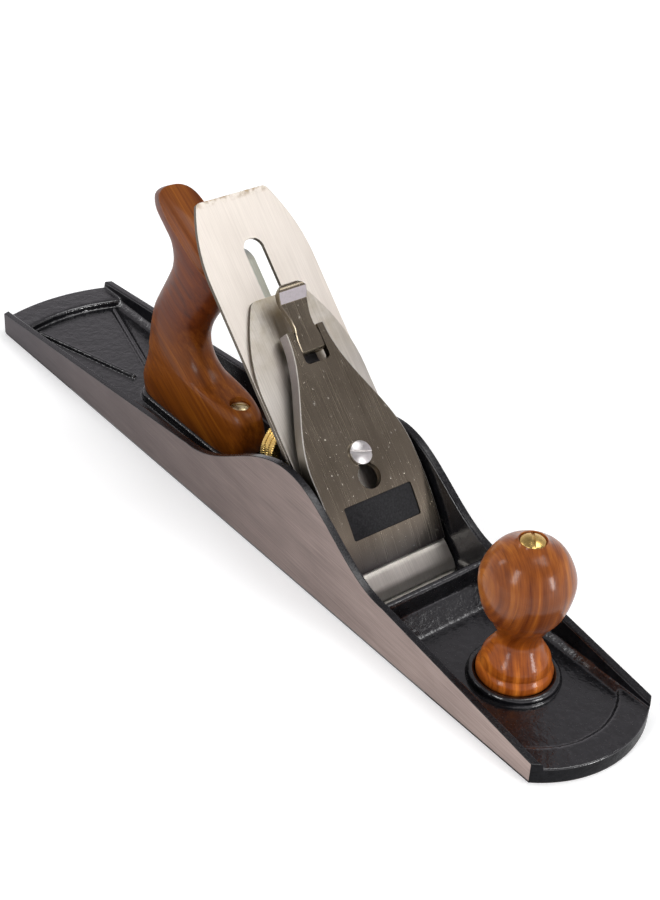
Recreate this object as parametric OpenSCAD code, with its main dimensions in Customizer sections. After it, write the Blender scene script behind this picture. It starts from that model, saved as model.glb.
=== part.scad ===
// Bench hand plane: cast body, adjustable frog, iron, lever cap, knob and tote.
// Millimetres. X runs from heel to toe, Y across, Z up. The sole lies on z = 0.

/* [Body casting] */
// Overall length of the sole, heel tip to toe tip
body_len = 457; // [420:1:500]
// Width of the sole
body_w = 72; // [70:0.5:80]
// Thickness of the side cheeks
wall = 4; // [3:0.5:5]
// Thickness of the sole
sole_t = 6; // [5:0.5:7]
// Radius of the toe's rounded end, seen from above
toe_arc_r = 55; // [45:1:80]
// Radius of the heel's rounded end, seen from above
heel_arc_r = 103; // [70:1:140]
// Width of the flat rim at the toe
toe_lip = 14; // [8:1:18]
// Width of the flat rim at the heel
heel_lip = 18; // [8:1:22]
// Height of the rim at the toe, between the cheeks
toe_rim_h = 8; // [7:0.25:9]
// Height of the rim at the heel, between the cheeks
heel_rim_h = 10; // [8:0.25:11.5]
// Height of the cheeks at the heel
heel_h = 13.5; // [12:0.5:16]
// Height of the cheeks at the toe
toe_h = 11; // [9.5:0.5:13]
// Height of the cheeks at their peak
peak_h = 59; // [54:1:64]
// Height of the cheeks where the rear slope meets the hump
rear_foot_h = 28.5; // [24:0.5:32]
// Height of the cheeks where the front slope meets the hump
front_foot_h = 26.5; // [25.5:0.5:32]
// Length of the hump's rear side
rear_hump_len = 80; // [60:1:95]
// Length of the hump's front side
front_hump_len = 73; // [60:1:80]

/* [Mouth and ribs] */
// Distance from the toe tip to the cutting edge
mouth_from_toe = 132.5; // [125:0.5:140]
// Distance from the cutting edge back to the top of the cheeks
peak_behind_mouth = 51.5; // [45:0.5:58]
// Gap in front of the cutting edge
mouth_gap = 2.4; // [2:0.1:4]
// Height of the ledge in front of the mouth
ledge_h = 10; // [8.5:0.5:13]
// Distance from the cutting edge to the cross rib
rib_ahead = 15.5; // [13:0.5:20]
// Thickness of the cross rib
rib_t = 4; // [3:0.5:6]
// Height of the cross rib's top above the sole
rib_h = 23; // [18:0.5:24.5]
// Thickness of the two stiffening ribs at the heel
heel_rib_t = 3; // [2:0.5:4]
// Height of the heel ribs above the floor
heel_rib_h = 2.5; // [1.5:0.5:4]

/* [Iron] */
// Bedding angle of the iron
bed_angle = 45; // [43:0.5:47]
// Gap between the iron and each cheek
iron_side_gap = 2; // [1.5:0.25:3]
// Thickness of the cutting iron
iron_t = 2.4; // [2:0.1:3]
// Length of the cutting iron
iron_len = 210; // [200:1:220]
// Grinding angle of the edge
bevel_angle = 25; // [23:1:35]
// Distance that the edge is drawn up from the sole at rest
edge_set = 0.3; // [0.2:0.1:0.8]
// Width of the slot in the iron
iron_slot_w = 11.1; // [10.8:0.1:12]
// Distance from the edge to the slot's upper end
iron_slot_end = 187; // [182:1:190]
// Thickness of the cap iron
cap_t = 2.2; // [1.8:0.1:2.6]
// Distance from the edge to the cap iron's upper end
cap_end = 157; // [150:1:162]
// Height of the cap iron's hump above its flat back
hump_h = 2.4; // [1.6:0.2:2.8]
// Radius of the cap iron screw's head
cap_screw_head_r = 8.5; // [7:0.5:9]

/* [Lever cap] */
// Distance from the cutting edge to the lever cap's front edge
lc_front = 20; // [18:0.5:24]
// Distance from the cutting edge to the lever cap's upper end
lc_end = 136; // [133:0.5:140]
// Height of the lever cap's flat top over the iron
lc_top = 12.5; // [12:0.25:14]
// Thickness of the lever cap's plate
lc_plate = 3.6; // [3:0.2:4.2]
// Thickness of the lever cap's side walls
lc_side = 2.6; // [2:0.2:3.2]
// Half width of the lever cap at its upper end
lc_top_half = 10.8; // [10.4:0.2:13]
// Distance from the cutting edge to the lever cap's screw
lc_screw_t = 72; // [70.5:0.5:73]
// Radius of the lever cap screw's shank
lc_screw_r = 3.1; // [2.8:0.1:3.3]
// Radius of the lever cap screw's head
lc_head_r = 5.8; // [5:0.1:6.2]
// Travel of the lever cap to its release
lc_travel = 11.5; // [11:0.25:12.5]
// Length of the cam lever beyond its pin
cam_len = 30; // [26:1:34]

/* [Frog] */
// Height of the frog's seat above the sole
seat_h = 16; // [15:0.5:18]
// Distance from the cutting edge to the frog's upper end
frog_end = 112; // [111:0.5:114]
// Gap between the frog and each cheek
frog_side_gap = 8; // [7:0.5:10]
// Thickness of the frog's face
frog_face = 5; // [4.5:0.25:6]
// Distance from the sole's cutting edge back to the frog's rear
frog_rear = 65; // [62:1:68]
// Distance between the two frog screws
frog_screw_gap = 24; // [22:1:26]
// Distance from the cutting edge back to the frog screws
frog_screw_back = 40; // [38:0.5:42]
// Radius of the frog screws
frog_screw_r = 3; // [2.5:0.1:3.5]
// Travel of the frog to the rear and to the front
frog_travel = 1.2; // [0.8:0.1:1.5]

/* [Depth adjuster] */
// Radius of the depth wheel
wheel_r = 16; // [14:0.5:17]
// Width of the depth wheel's knurled rim
wheel_w = 9; // [7:0.5:10]
// Height of the depth wheel's axis above the sole
wheel_z = 35; // [34:0.5:37]
// Distance from the cutting edge back to the yoke's fork
fork_back = 87.5; // [86:0.5:90]
// Height of the yoke pin above the wheel's axis
yoke_arm = 24; // [23:0.5:25]
// Distance from the cutting edge to the yoke's tip
tip_t = 84; // [83.5:0.25:84.5]
// Radius of the depth stud
stud_r = 3.57; // [3:0.1:4]

/* [Lateral adjuster] */
// Distance from the cutting edge to the lateral lever's pivot
lateral_pivot_t = 104; // [103.5:0.25:105]
// Distance from the pivot down to the roller
lateral_arm = 10.5; // [10:0.25:11]
// Radius of the roller
roller_r = 4; // [3.5:0.1:4.2]
// Length of the lateral lever above its pivot
lateral_len = 84; // [76:1:90]

/* [Knob] */
// Distance from the toe tip to the knob's axis
knob_from_toe = 61.5; // [55:0.5:66]
// Radius of the knob at its widest
knob_r = 20.9; // [18:0.5:23]
// Radius of the knob's foot
knob_foot_r = 17.1; // [15:0.5:18]
// Height of the knob without its nut
knob_h = 73; // [65:1:80]
// Depth of the recess that holds the knob's foot
knob_recess = 2; // [1:0.25:2.5]
// Height of the knob's boss above the sole
knob_boss_h = 9.5; // [9.2:0.25:12]

/* [Tote] */
// Distance from the cutting edge back to the tote's toe
tote_back_of_mouth = 124; // [122:0.5:130]
// Length of the tote's foot
tote_len = 92; // [90:0.5:96]
// Thickness of the tote
tote_t = 25; // [22:0.5:28]
// Height of the tote's horn above its seat
tote_h = 122; // [114:1:128]
// Height of the tote's seat above the sole
tote_seat_h = 10.5; // [9.5:0.5:12]
// Forward lean of the tote's rod
rod_lean = 22; // [20:0.5:24]
// Radius of the knob's and the tote's rods
rod_r = 3.2; // [2.5:0.1:3.5]
// Radius of the two brass nuts
nut_r = 5.9; // [5:0.1:6.5]

/* [Hidden] */
$fn = 48;
eps = 0.01;          // overshoot of cuts past the face they open
fit = 0.05;          // gap between a fixed fastener and its hole
slip = 0.3;          // gap between pieces that move past each other
big = 600;           // longer than any piece

// Stations along the body
toe_x = body_len / 2;
heel_x = -body_len / 2;
mouth_x = toe_x - mouth_from_toe;
peak_x = mouth_x - peak_behind_mouth;
rear_foot_x = peak_x - rear_hump_len;
front_foot_x = peak_x + front_hump_len;
knob_x = toe_x - knob_from_toe;
rib_x = mouth_x + rib_ahead;
half_w = body_w / 2;
well_half = half_w - wall;                     // half width between the cheeks
iron_w = body_w - 2 * (wall + iron_side_gap);  // width of the cutting iron
mouth_side_gap = 1;
mouth_half = iron_w / 2 + mouth_side_gap;      // half width of the mouth
toe_corner_x = toe_x - toe_arc_r + sqrt(pow(toe_arc_r, 2) - pow(half_w, 2));
heel_corner_x = heel_x + heel_arc_r - sqrt(pow(heel_arc_r, 2) - pow(half_w, 2));

// Levels over the bed: n = 0 is the iron's upper face
bed_n = -iron_t - fit;
frog_back_n = bed_n - frog_face;
relief_n = bed_n - frog_travel - slip;         // casting's slope under the iron

// ---------- helpers ----------

function lerp(a, b, u) = a + (b - a) * u;
function ease(u) = (1 - cos(180 * u)) / 2;
function clamp01(u) = max(0, min(1, u));

// Height of the cheeks at station x
function cheek_h(x) =
    x < rear_foot_x ? lerp(heel_h, rear_foot_h, (x - heel_corner_x) / (rear_foot_x - heel_corner_x))
    : x < peak_x ? lerp(rear_foot_h, peak_h, ease((x - rear_foot_x) / rear_hump_len))
    : x < front_foot_x ? lerp(peak_h, front_foot_h, ease((x - peak_x) / front_hump_len))
    : lerp(front_foot_h, toe_h, (x - front_foot_x) / (toe_corner_x - front_foot_x));

// Smooth curve through points, each stretch cut into steps
function curve_point(a, b, c, d, u) =
    0.5 * (2 * b + (c - a) * u + (2 * a - 5 * b + 4 * c - d) * u * u
           + (3 * b - a - 3 * c + d) * u * u * u);
function curve(p, steps) =
    let (last = len(p) - 1)
    concat([for (i = [0 : last - 1], k = [0 : steps - 1])
                curve_point(p[max(i - 1, 0)], p[i], p[i + 1], p[min(i + 2, last)], k / steps)],
           [p[last]]);

// Straight-line reading of a table of [level, value] pairs
function read(table, z, i = 0) =
    i >= len(table) - 2 || z <= table[i + 1][0]
    ? lerp(table[i][1], table[i + 1][1],
           clamp01((z - table[i][0]) / (table[i + 1][0] - table[i][0])))
    : read(table, z, i + 1);

// Puts children on the bed: x = -t up the slope from the edge, z = n over the iron's face
module on_bed() {
    translate([mouth_x, 0, 0]) rotate([0, bed_angle, 0]) children();
}

// A cylinder along n at station t on the bed
module bed_cyl(t, n0, n1, r, y = 0) {
    on_bed() translate([-t, y, n0]) cylinder(h = n1 - n0, r = r);
}

// A box on the bed, from t0 to t1, n0 to n1 and half width hw
module bed_box(t0, t1, n0, n1, hw) {
    on_bed() translate([-t1, -hw, n0]) cube([t1 - t0, 2 * hw, n1 - n0]);
}

// A side outline of [t, n] points, extruded to half width hw on the bed
module bed_side(points, hw) {
    on_bed() rotate([90, 0, 0]) translate([0, 0, -hw]) linear_extrude(2 * hw)
        polygon([for (p = points) [-p[0], p[1]]]);
}

// A plan outline of [t, half width] points, mirrored and extruded over the bed
module bed_plan(points, n0, n1) {
    on_bed() translate([0, 0, n0]) linear_extrude(n1 - n0)
        polygon(concat([for (p = points) [-p[0], p[1]]],
                       [for (i = [len(points) - 1 : -1 : 0]) [-points[i][0], -points[i][1]]]));
}

// An outline of [x, z] points, extruded to half width hw across the plane
module side(points, hw) {
    rotate([90, 0, 0]) translate([0, 0, -hw]) linear_extrude(2 * hw) polygon(points);
}

// A round slot from a to b along the bed
module bed_slot(t0, t1, n0, n1, r) {
    bed_cyl(t0, n0, n1, r);
    bed_cyl(t1, n0, n1, r);
    bed_box(t0, t1, n0, n1, r);
}

// A straight driver slot across a screw head, in the head's own frame
module driver_slot(r, top, depth) {
    translate([-r - 1, -driver_w / 2, top - depth]) cube([2 * r + 2, driver_w, depth + 1]);
}
driver_w = 1.2;

// A domed screw or nut head with a driver slot, its flat underside on z = 0
module domed_head(r, edge, rise, slot) {
    dome_r = (r * r + rise * rise) / (2 * rise);
    difference() {
        union() {
            cylinder(h = edge, r = r);
            intersection() {
                translate([0, 0, edge + rise - dome_r]) sphere(r = dome_r);
                translate([0, 0, edge - eps]) cylinder(h = rise + eps, r = r);
            }
        }
        driver_slot(r, edge + rise, slot);
    }
}

// ---------- body casting ----------

// The sole's outline from above, drawn in by the side and end amounts
module plan(side_in, toe_in, heel_in) {
    toe_c = toe_x - toe_arc_r;
    heel_c = heel_x + heel_arc_r;
    intersection() {
        translate([heel_x, -half_w + side_in]) square([body_len, body_w - 2 * side_in]);
        union() {
            translate([toe_c, 0]) circle(r = toe_arc_r - toe_in, $fn = 180);
            translate([heel_x, -half_w]) square([toe_c - heel_x, body_w]);
        }
        union() {
            translate([heel_c, 0]) circle(r = heel_arc_r - heel_in, $fn = 180);
            translate([heel_c, -half_w]) square([toe_x - heel_c, body_w]);
        }
    }
}

cheek_step = 4;
module cheek_outline() {
    side(concat([[heel_x, 0], [heel_x, heel_h], [heel_corner_x, heel_h], [rear_foot_x, rear_foot_h]],
                [for (x = [rear_foot_x + cheek_step : cheek_step : front_foot_x - cheek_step / 2])
                    [x, cheek_h(x)]],
                [[front_foot_x, front_foot_h], [toe_corner_x, toe_h], [toe_x, toe_h], [toe_x, 0]]),
         half_w);
}

floor_fillet = 3;
// The open well between the cheeks, with a small slope along the foot of each wall
module well() {
    intersection() {
        translate([0, 0, sole_t]) linear_extrude(peak_h) plan(wall, toe_lip, heel_lip);
        translate([heel_x, 0, 0]) rotate([90, 0, 90]) linear_extrude(body_len)
            polygon([[-well_half, peak_h + 10], [-well_half, sole_t + floor_fillet],
                     [floor_fillet - well_half, sole_t], [well_half - floor_fillet, sole_t],
                     [well_half, sole_t + floor_fillet], [well_half, peak_h + 10]]);
    }
}

// Lowers the rims at the toe and the heel between the two cheeks
module rim_steps() {
    translate([knob_x + knob_foot_r + boss_wall, -well_half, toe_rim_h])
        cube([toe_x, 2 * well_half, peak_h]);
    translate([heel_x - 1, -well_half, heel_rim_h])
        cube([2 * heel_lip + 1, 2 * well_half, peak_h]);
}

mouth_lip_h = 4;       // straight front wall of the mouth
mouth_flare = 30;      // lean of the mouth's front above that wall
module mouth() {
    top = seat_h + 2;
    slope_x = relief_n / sin(bed_angle);
    front = mouth_x + mouth_gap;
    flare = (top - mouth_lip_h) * tan(mouth_flare);
    side([[mouth_x + slope_x + eps / tan(bed_angle), -eps], [front, -eps], [front, mouth_lip_h],
          [front + flare, top], [mouth_x + slope_x - top / tan(bed_angle), top]], mouth_half);
}

boss_wall = 2.1;       // wall of the ring round the knob's foot
knob_seat_z = knob_boss_h - knob_recess;
tote_toe_x = mouth_x - tote_back_of_mouth;
tote_rear_x = tote_toe_x - tote_len;
seat_margin = 1.5;     // seat beyond the tote's foot
seat_half = tote_t / 2 + seat_margin;
module tote_seat() {
    translate([0, 0, sole_t - eps]) linear_extrude(tote_seat_h - sole_t + eps) {
        for (x = [tote_rear_x + seat_half - seat_margin, tote_toe_x - seat_half + seat_margin])
            translate([x, 0]) circle(r = seat_half);
        translate([tote_rear_x + seat_half - seat_margin, -seat_half])
            square([tote_len + 2 * seat_margin - 2 * seat_half, 2 * seat_half]);
    }
}

// Stiffening ribs that run from the heel's corners to the tote's seat
module heel_ribs() {
    start = [heel_x + heel_lip + 8, well_half - 7];
    end = [tote_rear_x - 12, 5];
    span = end - start;
    for (m = [0, 1]) mirror([0, m, 0])
        translate([start[0], start[1], sole_t - eps])
            rotate([0, 0, atan2(span[1], span[0])])
                translate([0, -heel_rib_t / 2, 0])
                    cube([norm(span), heel_rib_t, heel_rib_h + eps]);
}

receiver_rear_x = mouth_x - frog_rear + 4;
frog_w = 2 * (well_half - frog_side_gap);
receiver_half = frog_w / 2 - 2;
// Raised block that the frog is screwed down on
module receiver() {
    side([[receiver_rear_x, sole_t - eps], [mouth_x, sole_t - eps], [mouth_x, seat_h - fit],
          [receiver_rear_x, seat_h - fit]], receiver_half);
}

module cross_rib() {
    translate([rib_x, -well_half - eps, sole_t - eps])
        cube([rib_t, 2 * (well_half + eps), rib_h - sole_t + eps]);
    translate([mouth_x, -well_half - eps, sole_t - eps])
        cube([rib_ahead + eps, 2 * (well_half + eps), ledge_h - sole_t + eps]);
    rib_foot = 10;
    side([[rib_x + rib_t - eps, sole_t - eps], [rib_x + rib_t + rib_foot, sole_t - eps],
          [rib_x + rib_t - eps, sole_t + 0.7 * rib_foot]], well_half + eps);
}

adjust_z = sole_t + 5;                  // axis of the frog's adjusting screw
adjust_r = 2.6;
frog_screw_x = mouth_x - frog_screw_back;
toe_screw_in = 13;                      // toe screw's distance from the tote's toe
toe_screw_x = tote_toe_x - toe_screw_in;
toe_screw_r = 2.4;
// Nut of the tote's rod, on the tote's slanted top
top_slope = 31;                         // fall of the tote's top towards the iron
nut_along = 0.613;                      // nut's place along the tote, as a part of its length
nut_up = 0.803;                         // and up it, as a part of its height
nut_x = tote_rear_x + nut_along * tote_len;
nut_z = tote_seat_h + nut_up * tote_h;
rod_foot_z = 1.5;                       // lower end of both rods above the sole
rod_foot_x = nut_x - (nut_z - rod_foot_z) * tan(rod_lean);

// Puts children on the tote rod's axis, z along the rod from its foot
module on_rod() {
    translate([rod_foot_x, 0, rod_foot_z]) rotate([0, rod_lean, 0]) children();
}
rod_len = (nut_z - rod_foot_z) / cos(rod_lean);

module body_holes() {
    translate([knob_x, 0, rod_foot_z]) cylinder(h = big, r = rod_r + fit);
    translate([knob_x, 0, knob_seat_z]) cylinder(h = big, r = knob_foot_r + 0.5);
    on_rod() cylinder(h = rod_len, r = rod_r + fit);
    translate([toe_screw_x, 0, rod_foot_z]) cylinder(h = big, r = toe_screw_r + fit);
    for (y = [-1, 1]) translate([frog_screw_x, y * frog_screw_gap / 2, sole_t / 2])
        cylinder(h = big, r = frog_screw_r + fit);
    translate([receiver_rear_x - 1, 0, adjust_z]) rotate([0, 90, 0])
        cylinder(h = 16, r = adjust_r + 0.15);
}

module body_casting() {
    color([0.13, 0.13, 0.15]) difference() {
        union() {
            difference() {
                intersection() {
                    linear_extrude(peak_h) plan(0, 0, 0);
                    cheek_outline();
                }
                well();
                rim_steps();
            }
            tote_seat();
            heel_ribs();
            receiver();
            cross_rib();
            translate([knob_x, 0, sole_t - eps])
                cylinder(h = knob_boss_h - sole_t + eps, r = knob_foot_r + boss_wall);
        }
        mouth();
        body_holes();
    }
}

// ---------- frog ----------

frog_rear_x = mouth_x - frog_rear;
frog_base_t = 5;
frog_web = 4;
stud_boss_r = 7;
fork_t = 2.4;                           // thickness of the yoke's fork
fork_x = mouth_x - fork_back;           // middle of the yoke's fork
yoke_z = wheel_z + yoke_arm;            // height of the yoke's pin
pin_r = 2;
lug_r = 5;
lug_in = 2.9;                           // half gap between the two lugs
lug_out = 7;
channel_depth = 2;
channel_half = 8.2;

// Station x of level n on the bed at height z
function bed_x(n, z) = mouth_x + n / sin(bed_angle) - z / tan(bed_angle);

module frog_outer() {
    top_z = frog_end * sin(bed_angle) + frog_back_n * cos(bed_angle);
    bed_box(0, frog_end, frog_back_n, bed_n, frog_w / 2);
    translate([frog_rear_x, -receiver_half, seat_h])
        cube([bed_x(bed_n - 1, seat_h) - frog_rear_x, 2 * receiver_half, frog_base_t]);
    web = [[frog_rear_x, seat_h], [bed_x(bed_n - 1, seat_h), seat_h],
           [bed_x(bed_n - 1, top_z - 2), top_z - 2], [bed_x(frog_back_n, top_z - 2), top_z - 2],
           [bed_x(frog_back_n, wheel_z + 18) - 2, wheel_z + 18],
           [frog_rear_x + 2, wheel_z + 4], [frog_rear_x, seat_h + frog_base_t + 6]];
    for (y = [-1, 1]) translate([0, y * (receiver_half - frog_web / 2), 0]) side(web, frog_web / 2);
    translate([fork_x + 8.5, 0, wheel_z]) rotate([0, 90, 0])
        cylinder(h = bed_x(frog_back_n, wheel_z - stud_boss_r) - fork_x - 7.5, r = stud_boss_r);
    stud_rib = [[fork_x + 12, wheel_z + 3], [bed_x(frog_back_n, wheel_z + 3) + 1, wheel_z + 3],
                [bed_x(frog_back_n, seat_h) + 1, seat_h + 1], [frog_rear_x + 1, seat_h + 1],
                [frog_rear_x + 1, seat_h + frog_base_t + 1]];
    side(stud_rib, 2.5);
    for (y = [-1, 1]) translate([0, y * (lug_in + lug_out) / 2, 0]) yoke_lug();
}

// One ear of the frog that carries the yoke's pin
module yoke_lug() {
    half = (lug_out - lug_in) / 2;
    translate([fork_x, -half, yoke_z]) rotate([-90, 0, 0]) cylinder(h = 2 * half, r = lug_r);
    side([[fork_x, yoke_z - lug_r], [bed_x(frog_back_n, yoke_z - lug_r) + 1, yoke_z - lug_r],
          [bed_x(frog_back_n, yoke_z + lug_r) + 1, yoke_z + lug_r], [fork_x, yoke_z + lug_r]], half);
}

frog_head_r = 6.2;
frog_head_h = 2.6;
frog_head_rise = 1;
frog_head_slot = 1.6;
screw_well_r = frog_head_r + frog_travel + 0.4;   // room to turn the frog screws
module frog_cuts() {
    translate([-big / 2, -big / 2, seat_h - big]) cube([big, big, big]);
    bed_box(-frog_end, 2 * frog_end, bed_n, bed_n + frog_end, frog_w);
    for (y = [-1, 1]) translate([frog_screw_x, y * frog_screw_gap / 2, 0]) {
        translate([0, 0, seat_h + frog_base_t]) cylinder(h = big, r = screw_well_r);
        for (x = [-1, 1]) translate([x * (frog_travel + slip), 0, 0])
            cylinder(h = big, r = frog_screw_r + slip);
        translate([-frog_travel - slip, -frog_screw_r - slip, 0])
            cube([2 * (frog_travel + slip), 2 * (frog_screw_r + slip), big]);
    }
    // opening for the yoke's arm, and the lateral lever's channel
    bed_box(tip_t - 5, tip_t + 4.5, frog_back_n - 3, bed_n + 1, yoke_half + 0.4);
    bed_box(lateral_pivot_t - lateral_arm - lever_end_r - 0.9, frog_end + 1,
            bed_n - channel_depth, bed_n + 1, channel_half);
    bed_cyl(lateral_pivot_t, frog_back_n - 3, bed_n, pin_r + fit);
    bed_cyl(lc_screw_t, frog_back_n - 8, bed_n + 1, lc_screw_r + fit);
    translate([fork_x, -big / 2, yoke_z]) rotate([-90, 0, 0]) cylinder(h = big, r = pin_r + fit);
    translate([fork_x, 0, wheel_z]) rotate([0, 90, 0]) cylinder(h = stud_seat, r = stud_r + fit);
    translate([frog_rear_x - 1, 0, clip_screw_z]) rotate([0, 90, 0])
        cylinder(h = clip_screw_len + 1, r = clip_screw_r + fit);
}
stud_seat = 20;                         // how far the stud reaches past the fork
clip_screw_r = 1.5;
clip_screw_len = 5;
clip_screw_z = seat_h + frog_base_t / 2;

module frog() {
    color([0.16, 0.16, 0.18]) difference() {
        frog_outer();
        frog_cuts();
    }
}

washer_t = 1.2;
module frog_screws() {
    color([0.55, 0.55, 0.56]) for (y = [-1, 1])
        translate([frog_screw_x, y * frog_screw_gap / 2, 0]) {
            translate([0, 0, sole_t / 2]) cylinder(h = seat_h + frog_base_t + washer_t - sole_t / 2,
                                                   r = frog_screw_r);
            translate([0, 0, seat_h + frog_base_t + washer_t])
                domed_head(frog_head_r, frog_head_h, frog_head_rise, frog_head_slot);
        }
}

module frog_washers() {
    color([0.6, 0.6, 0.6]) for (y = [-1, 1])
        translate([frog_screw_x, y * frog_screw_gap / 2, seat_h + frog_base_t]) difference() {
            cylinder(h = washer_t, r = frog_head_r);
            translate([0, 0, -1]) cylinder(h = washer_t + 2, r = frog_screw_r + fit);
        }
}

clip_t = 1.4;
groove_w = clip_t + 2 * slip;
adjust_head_r = 4.5;
adjust_neck_r = 2.4;
adjust_head = 5.3;
// Screw behind the frog: slotted head, groove for the clip, collar and thread
module frog_adjust_screw() {
    groove_x = frog_rear_x - clip_t - slip;
    color([0.62, 0.6, 0.55]) translate([groove_x, 0, adjust_z]) rotate([0, 90, 0]) {
        difference() {
            translate([0, 0, -adjust_head]) cylinder(h = adjust_head, r = adjust_head_r);
            translate([-adjust_head_r - 1, -driver_w / 2, -adjust_head - 1])
                cube([2 * adjust_head_r + 2, driver_w, 2.6]);
        }
        translate([0, 0, -eps]) cylinder(h = groove_w + 2 * eps, r = adjust_neck_r);
        translate([0, 0, groove_w]) cylinder(h = 1.5, r = adjust_head_r);
        translate([0, 0, groove_w]) cylinder(h = 13, r = adjust_r);
    }
}

clip_half = 5;
module frog_adjust_clip() {
    color([0.5, 0.5, 0.5]) difference() {
        translate([frog_rear_x - clip_t, -clip_half, sole_t + 1.5])
            cube([clip_t, 2 * clip_half, seat_h + frog_base_t - sole_t - 1.5]);
        translate([frog_rear_x - clip_t - 1, 0, adjust_z]) rotate([0, 90, 0])
            cylinder(h = clip_t + 2, r = adjust_neck_r + slip);
        translate([frog_rear_x - clip_t - 1, -adjust_neck_r - slip, 0])
            cube([clip_t + 2, 2 * (adjust_neck_r + slip), adjust_z]);
        translate([frog_rear_x - clip_t - 1, 0, clip_screw_z]) rotate([0, 90, 0])
            cylinder(h = clip_t + 2, r = clip_screw_r + fit);
    }
}

module frog_clip_screw() {
    color([0.6, 0.6, 0.6]) translate([frog_rear_x - clip_t, 0, clip_screw_z]) {
        rotate([0, 90, 0]) cylinder(h = clip_t + clip_screw_len - 1, r = clip_screw_r);
        rotate([0, -90, 0]) domed_head(2.4, 0.8, 0.8, 0.8);
    }
}

// ---------- depth adjuster ----------

stud_tail = 9;                          // stud beyond the wheel's rear face
wheel_rear_x = fork_x - fork_t / 2 - slip - wheel_w;
module depth_stud() {
    color([0.5, 0.48, 0.45]) translate([wheel_rear_x - stud_tail, 0, wheel_z]) rotate([0, 90, 0])
        cylinder(h = fork_x + stud_seat - wheel_rear_x + stud_tail - slip, r = stud_r);
}

wheel_neck_r = 6.2;
wheel_flange_r = 9.5;
wheel_flange_w = 2;
wheel_bore_gap = 0.6;
knurl_bands = 3;
band_gap = 0.8;
module depth_wheel() {
    groove = fork_t + 2 * slip;
    band_w = (wheel_w - band_gap * (knurl_bands - 1)) / knurl_bands;
    color([0.85, 0.66, 0.28]) translate([wheel_rear_x, 0, wheel_z]) rotate([0, 90, 0]) difference() {
        union() {
            cylinder(h = wheel_w, r = wheel_r - 0.6);
            for (i = [0 : knurl_bands - 1]) translate([0, 0, i * (band_w + band_gap)])
                cylinder(h = band_w, r = wheel_r);
            cylinder(h = wheel_w + groove + wheel_flange_w, r = wheel_neck_r);
            translate([0, 0, wheel_w + groove]) cylinder(h = wheel_flange_w, r = wheel_flange_r);
        }
        translate([0, 0, -1]) cylinder(h = big, r = stud_r + wheel_bore_gap);
        // dished rear face
        translate([0, 0, -1]) cylinder(h = 1 + 1.6, r = wheel_r - 3.2);
    }
}

yoke_half = 2.4;
yoke_hub_r = 4.4;
yoke_leg_out = 10.5;
tip_len = 3.5;                          // length of the yoke's tip along the bed
// Forked lever between the wheel and the cap iron
module adjusting_yoke() {
    leg_in = wheel_neck_r + slip;
    bar_z = wheel_z + 12;
    arm_end = [bed_x(0, 0) - tip_t * cos(bed_angle), tip_t * sin(bed_angle)];
    normal = [sin(bed_angle), cos(bed_angle)];
    along = [-cos(bed_angle), sin(bed_angle)];
    low = arm_end - along * tip_len / 2;
    high = arm_end + along * tip_len / 2;
    tip_up = 1.6;                       // how far the tip stands in the cap iron
    root_down = 11;
    color([0.3, 0.3, 0.31]) difference() {
        union() {
            translate([fork_x, -yoke_half, yoke_z]) rotate([-90, 0, 0])
                cylinder(h = 2 * yoke_half, r = yoke_hub_r);
            side([[fork_x, yoke_z - 3], low - normal * root_down, low + normal * tip_up,
                  high + normal * tip_up, high - normal * root_down, [fork_x, yoke_z + 3]],
                 yoke_half);
            translate([fork_x - fork_t / 2, -yoke_half, bar_z])
                cube([fork_t, 2 * yoke_half, yoke_z - bar_z]);
            translate([fork_x - fork_t / 2, -yoke_leg_out, bar_z - 2])
                cube([fork_t, 2 * yoke_leg_out, 6]);
            for (y = [-yoke_leg_out, leg_in])
                translate([fork_x - fork_t / 2, y, wheel_z - 2])
                    cube([fork_t, yoke_leg_out - leg_in, bar_z - wheel_z + 1]);
        }
        translate([fork_x, -big / 2, yoke_z]) rotate([-90, 0, 0]) cylinder(h = big, r = pin_r + 0.06);
    }
}

module yoke_pin() {
    color([0.6, 0.6, 0.6]) translate([fork_x, -lug_out, yoke_z]) rotate([-90, 0, 0])
        cylinder(h = 2 * lug_out, r = pin_r);
}

// ---------- lateral adjuster ----------

lever_t = 1.5;
lever_end_r = 5.6;
lever_half = 5;
lever_n = bed_n - 0.2;                  // upper face of the lever in its channel
lever_drop = 8;                         // how far the lever stands behind the iron higher up
lever_tip = lateral_pivot_t + lateral_len;
// Strip in the frog's channel that steps back behind the iron and ends in a curled thumb piece
module lateral_lever() {
    low = lateral_pivot_t - lateral_arm;
    bend = frog_end + 2;
    back_n = lever_n - lever_drop;
    color([0.55, 0.58, 0.55]) difference() {
        union() {
            bed_side([[low, lever_n], [bend, lever_n], [bend + lever_drop, back_n],
                      [lever_tip - 8, back_n], [lever_tip, back_n - 8], [lever_tip - 2, back_n - 9],
                      [lever_tip - 9, back_n - lever_t], [bend + lever_drop - 1, back_n - lever_t],
                      [bend - 1, lever_n - lever_t], [low, lever_n - lever_t]], lever_half);
            bed_cyl(low, lever_n - lever_t, lever_n, lever_end_r);
        }
        bed_cyl(lateral_pivot_t, lever_n - lever_t - 1, lever_n + 1, pin_r + 0.06);
    }
}

module lateral_roller() {
    color([0.6, 0.6, 0.6]) bed_cyl(lateral_pivot_t - lateral_arm, lever_n, -0.3, roller_r);
}

module lateral_pivot() {
    color([0.6, 0.6, 0.6]) bed_cyl(lateral_pivot_t, frog_back_n, lever_n, pin_r);
}

// ---------- iron and cap iron ----------

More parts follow.
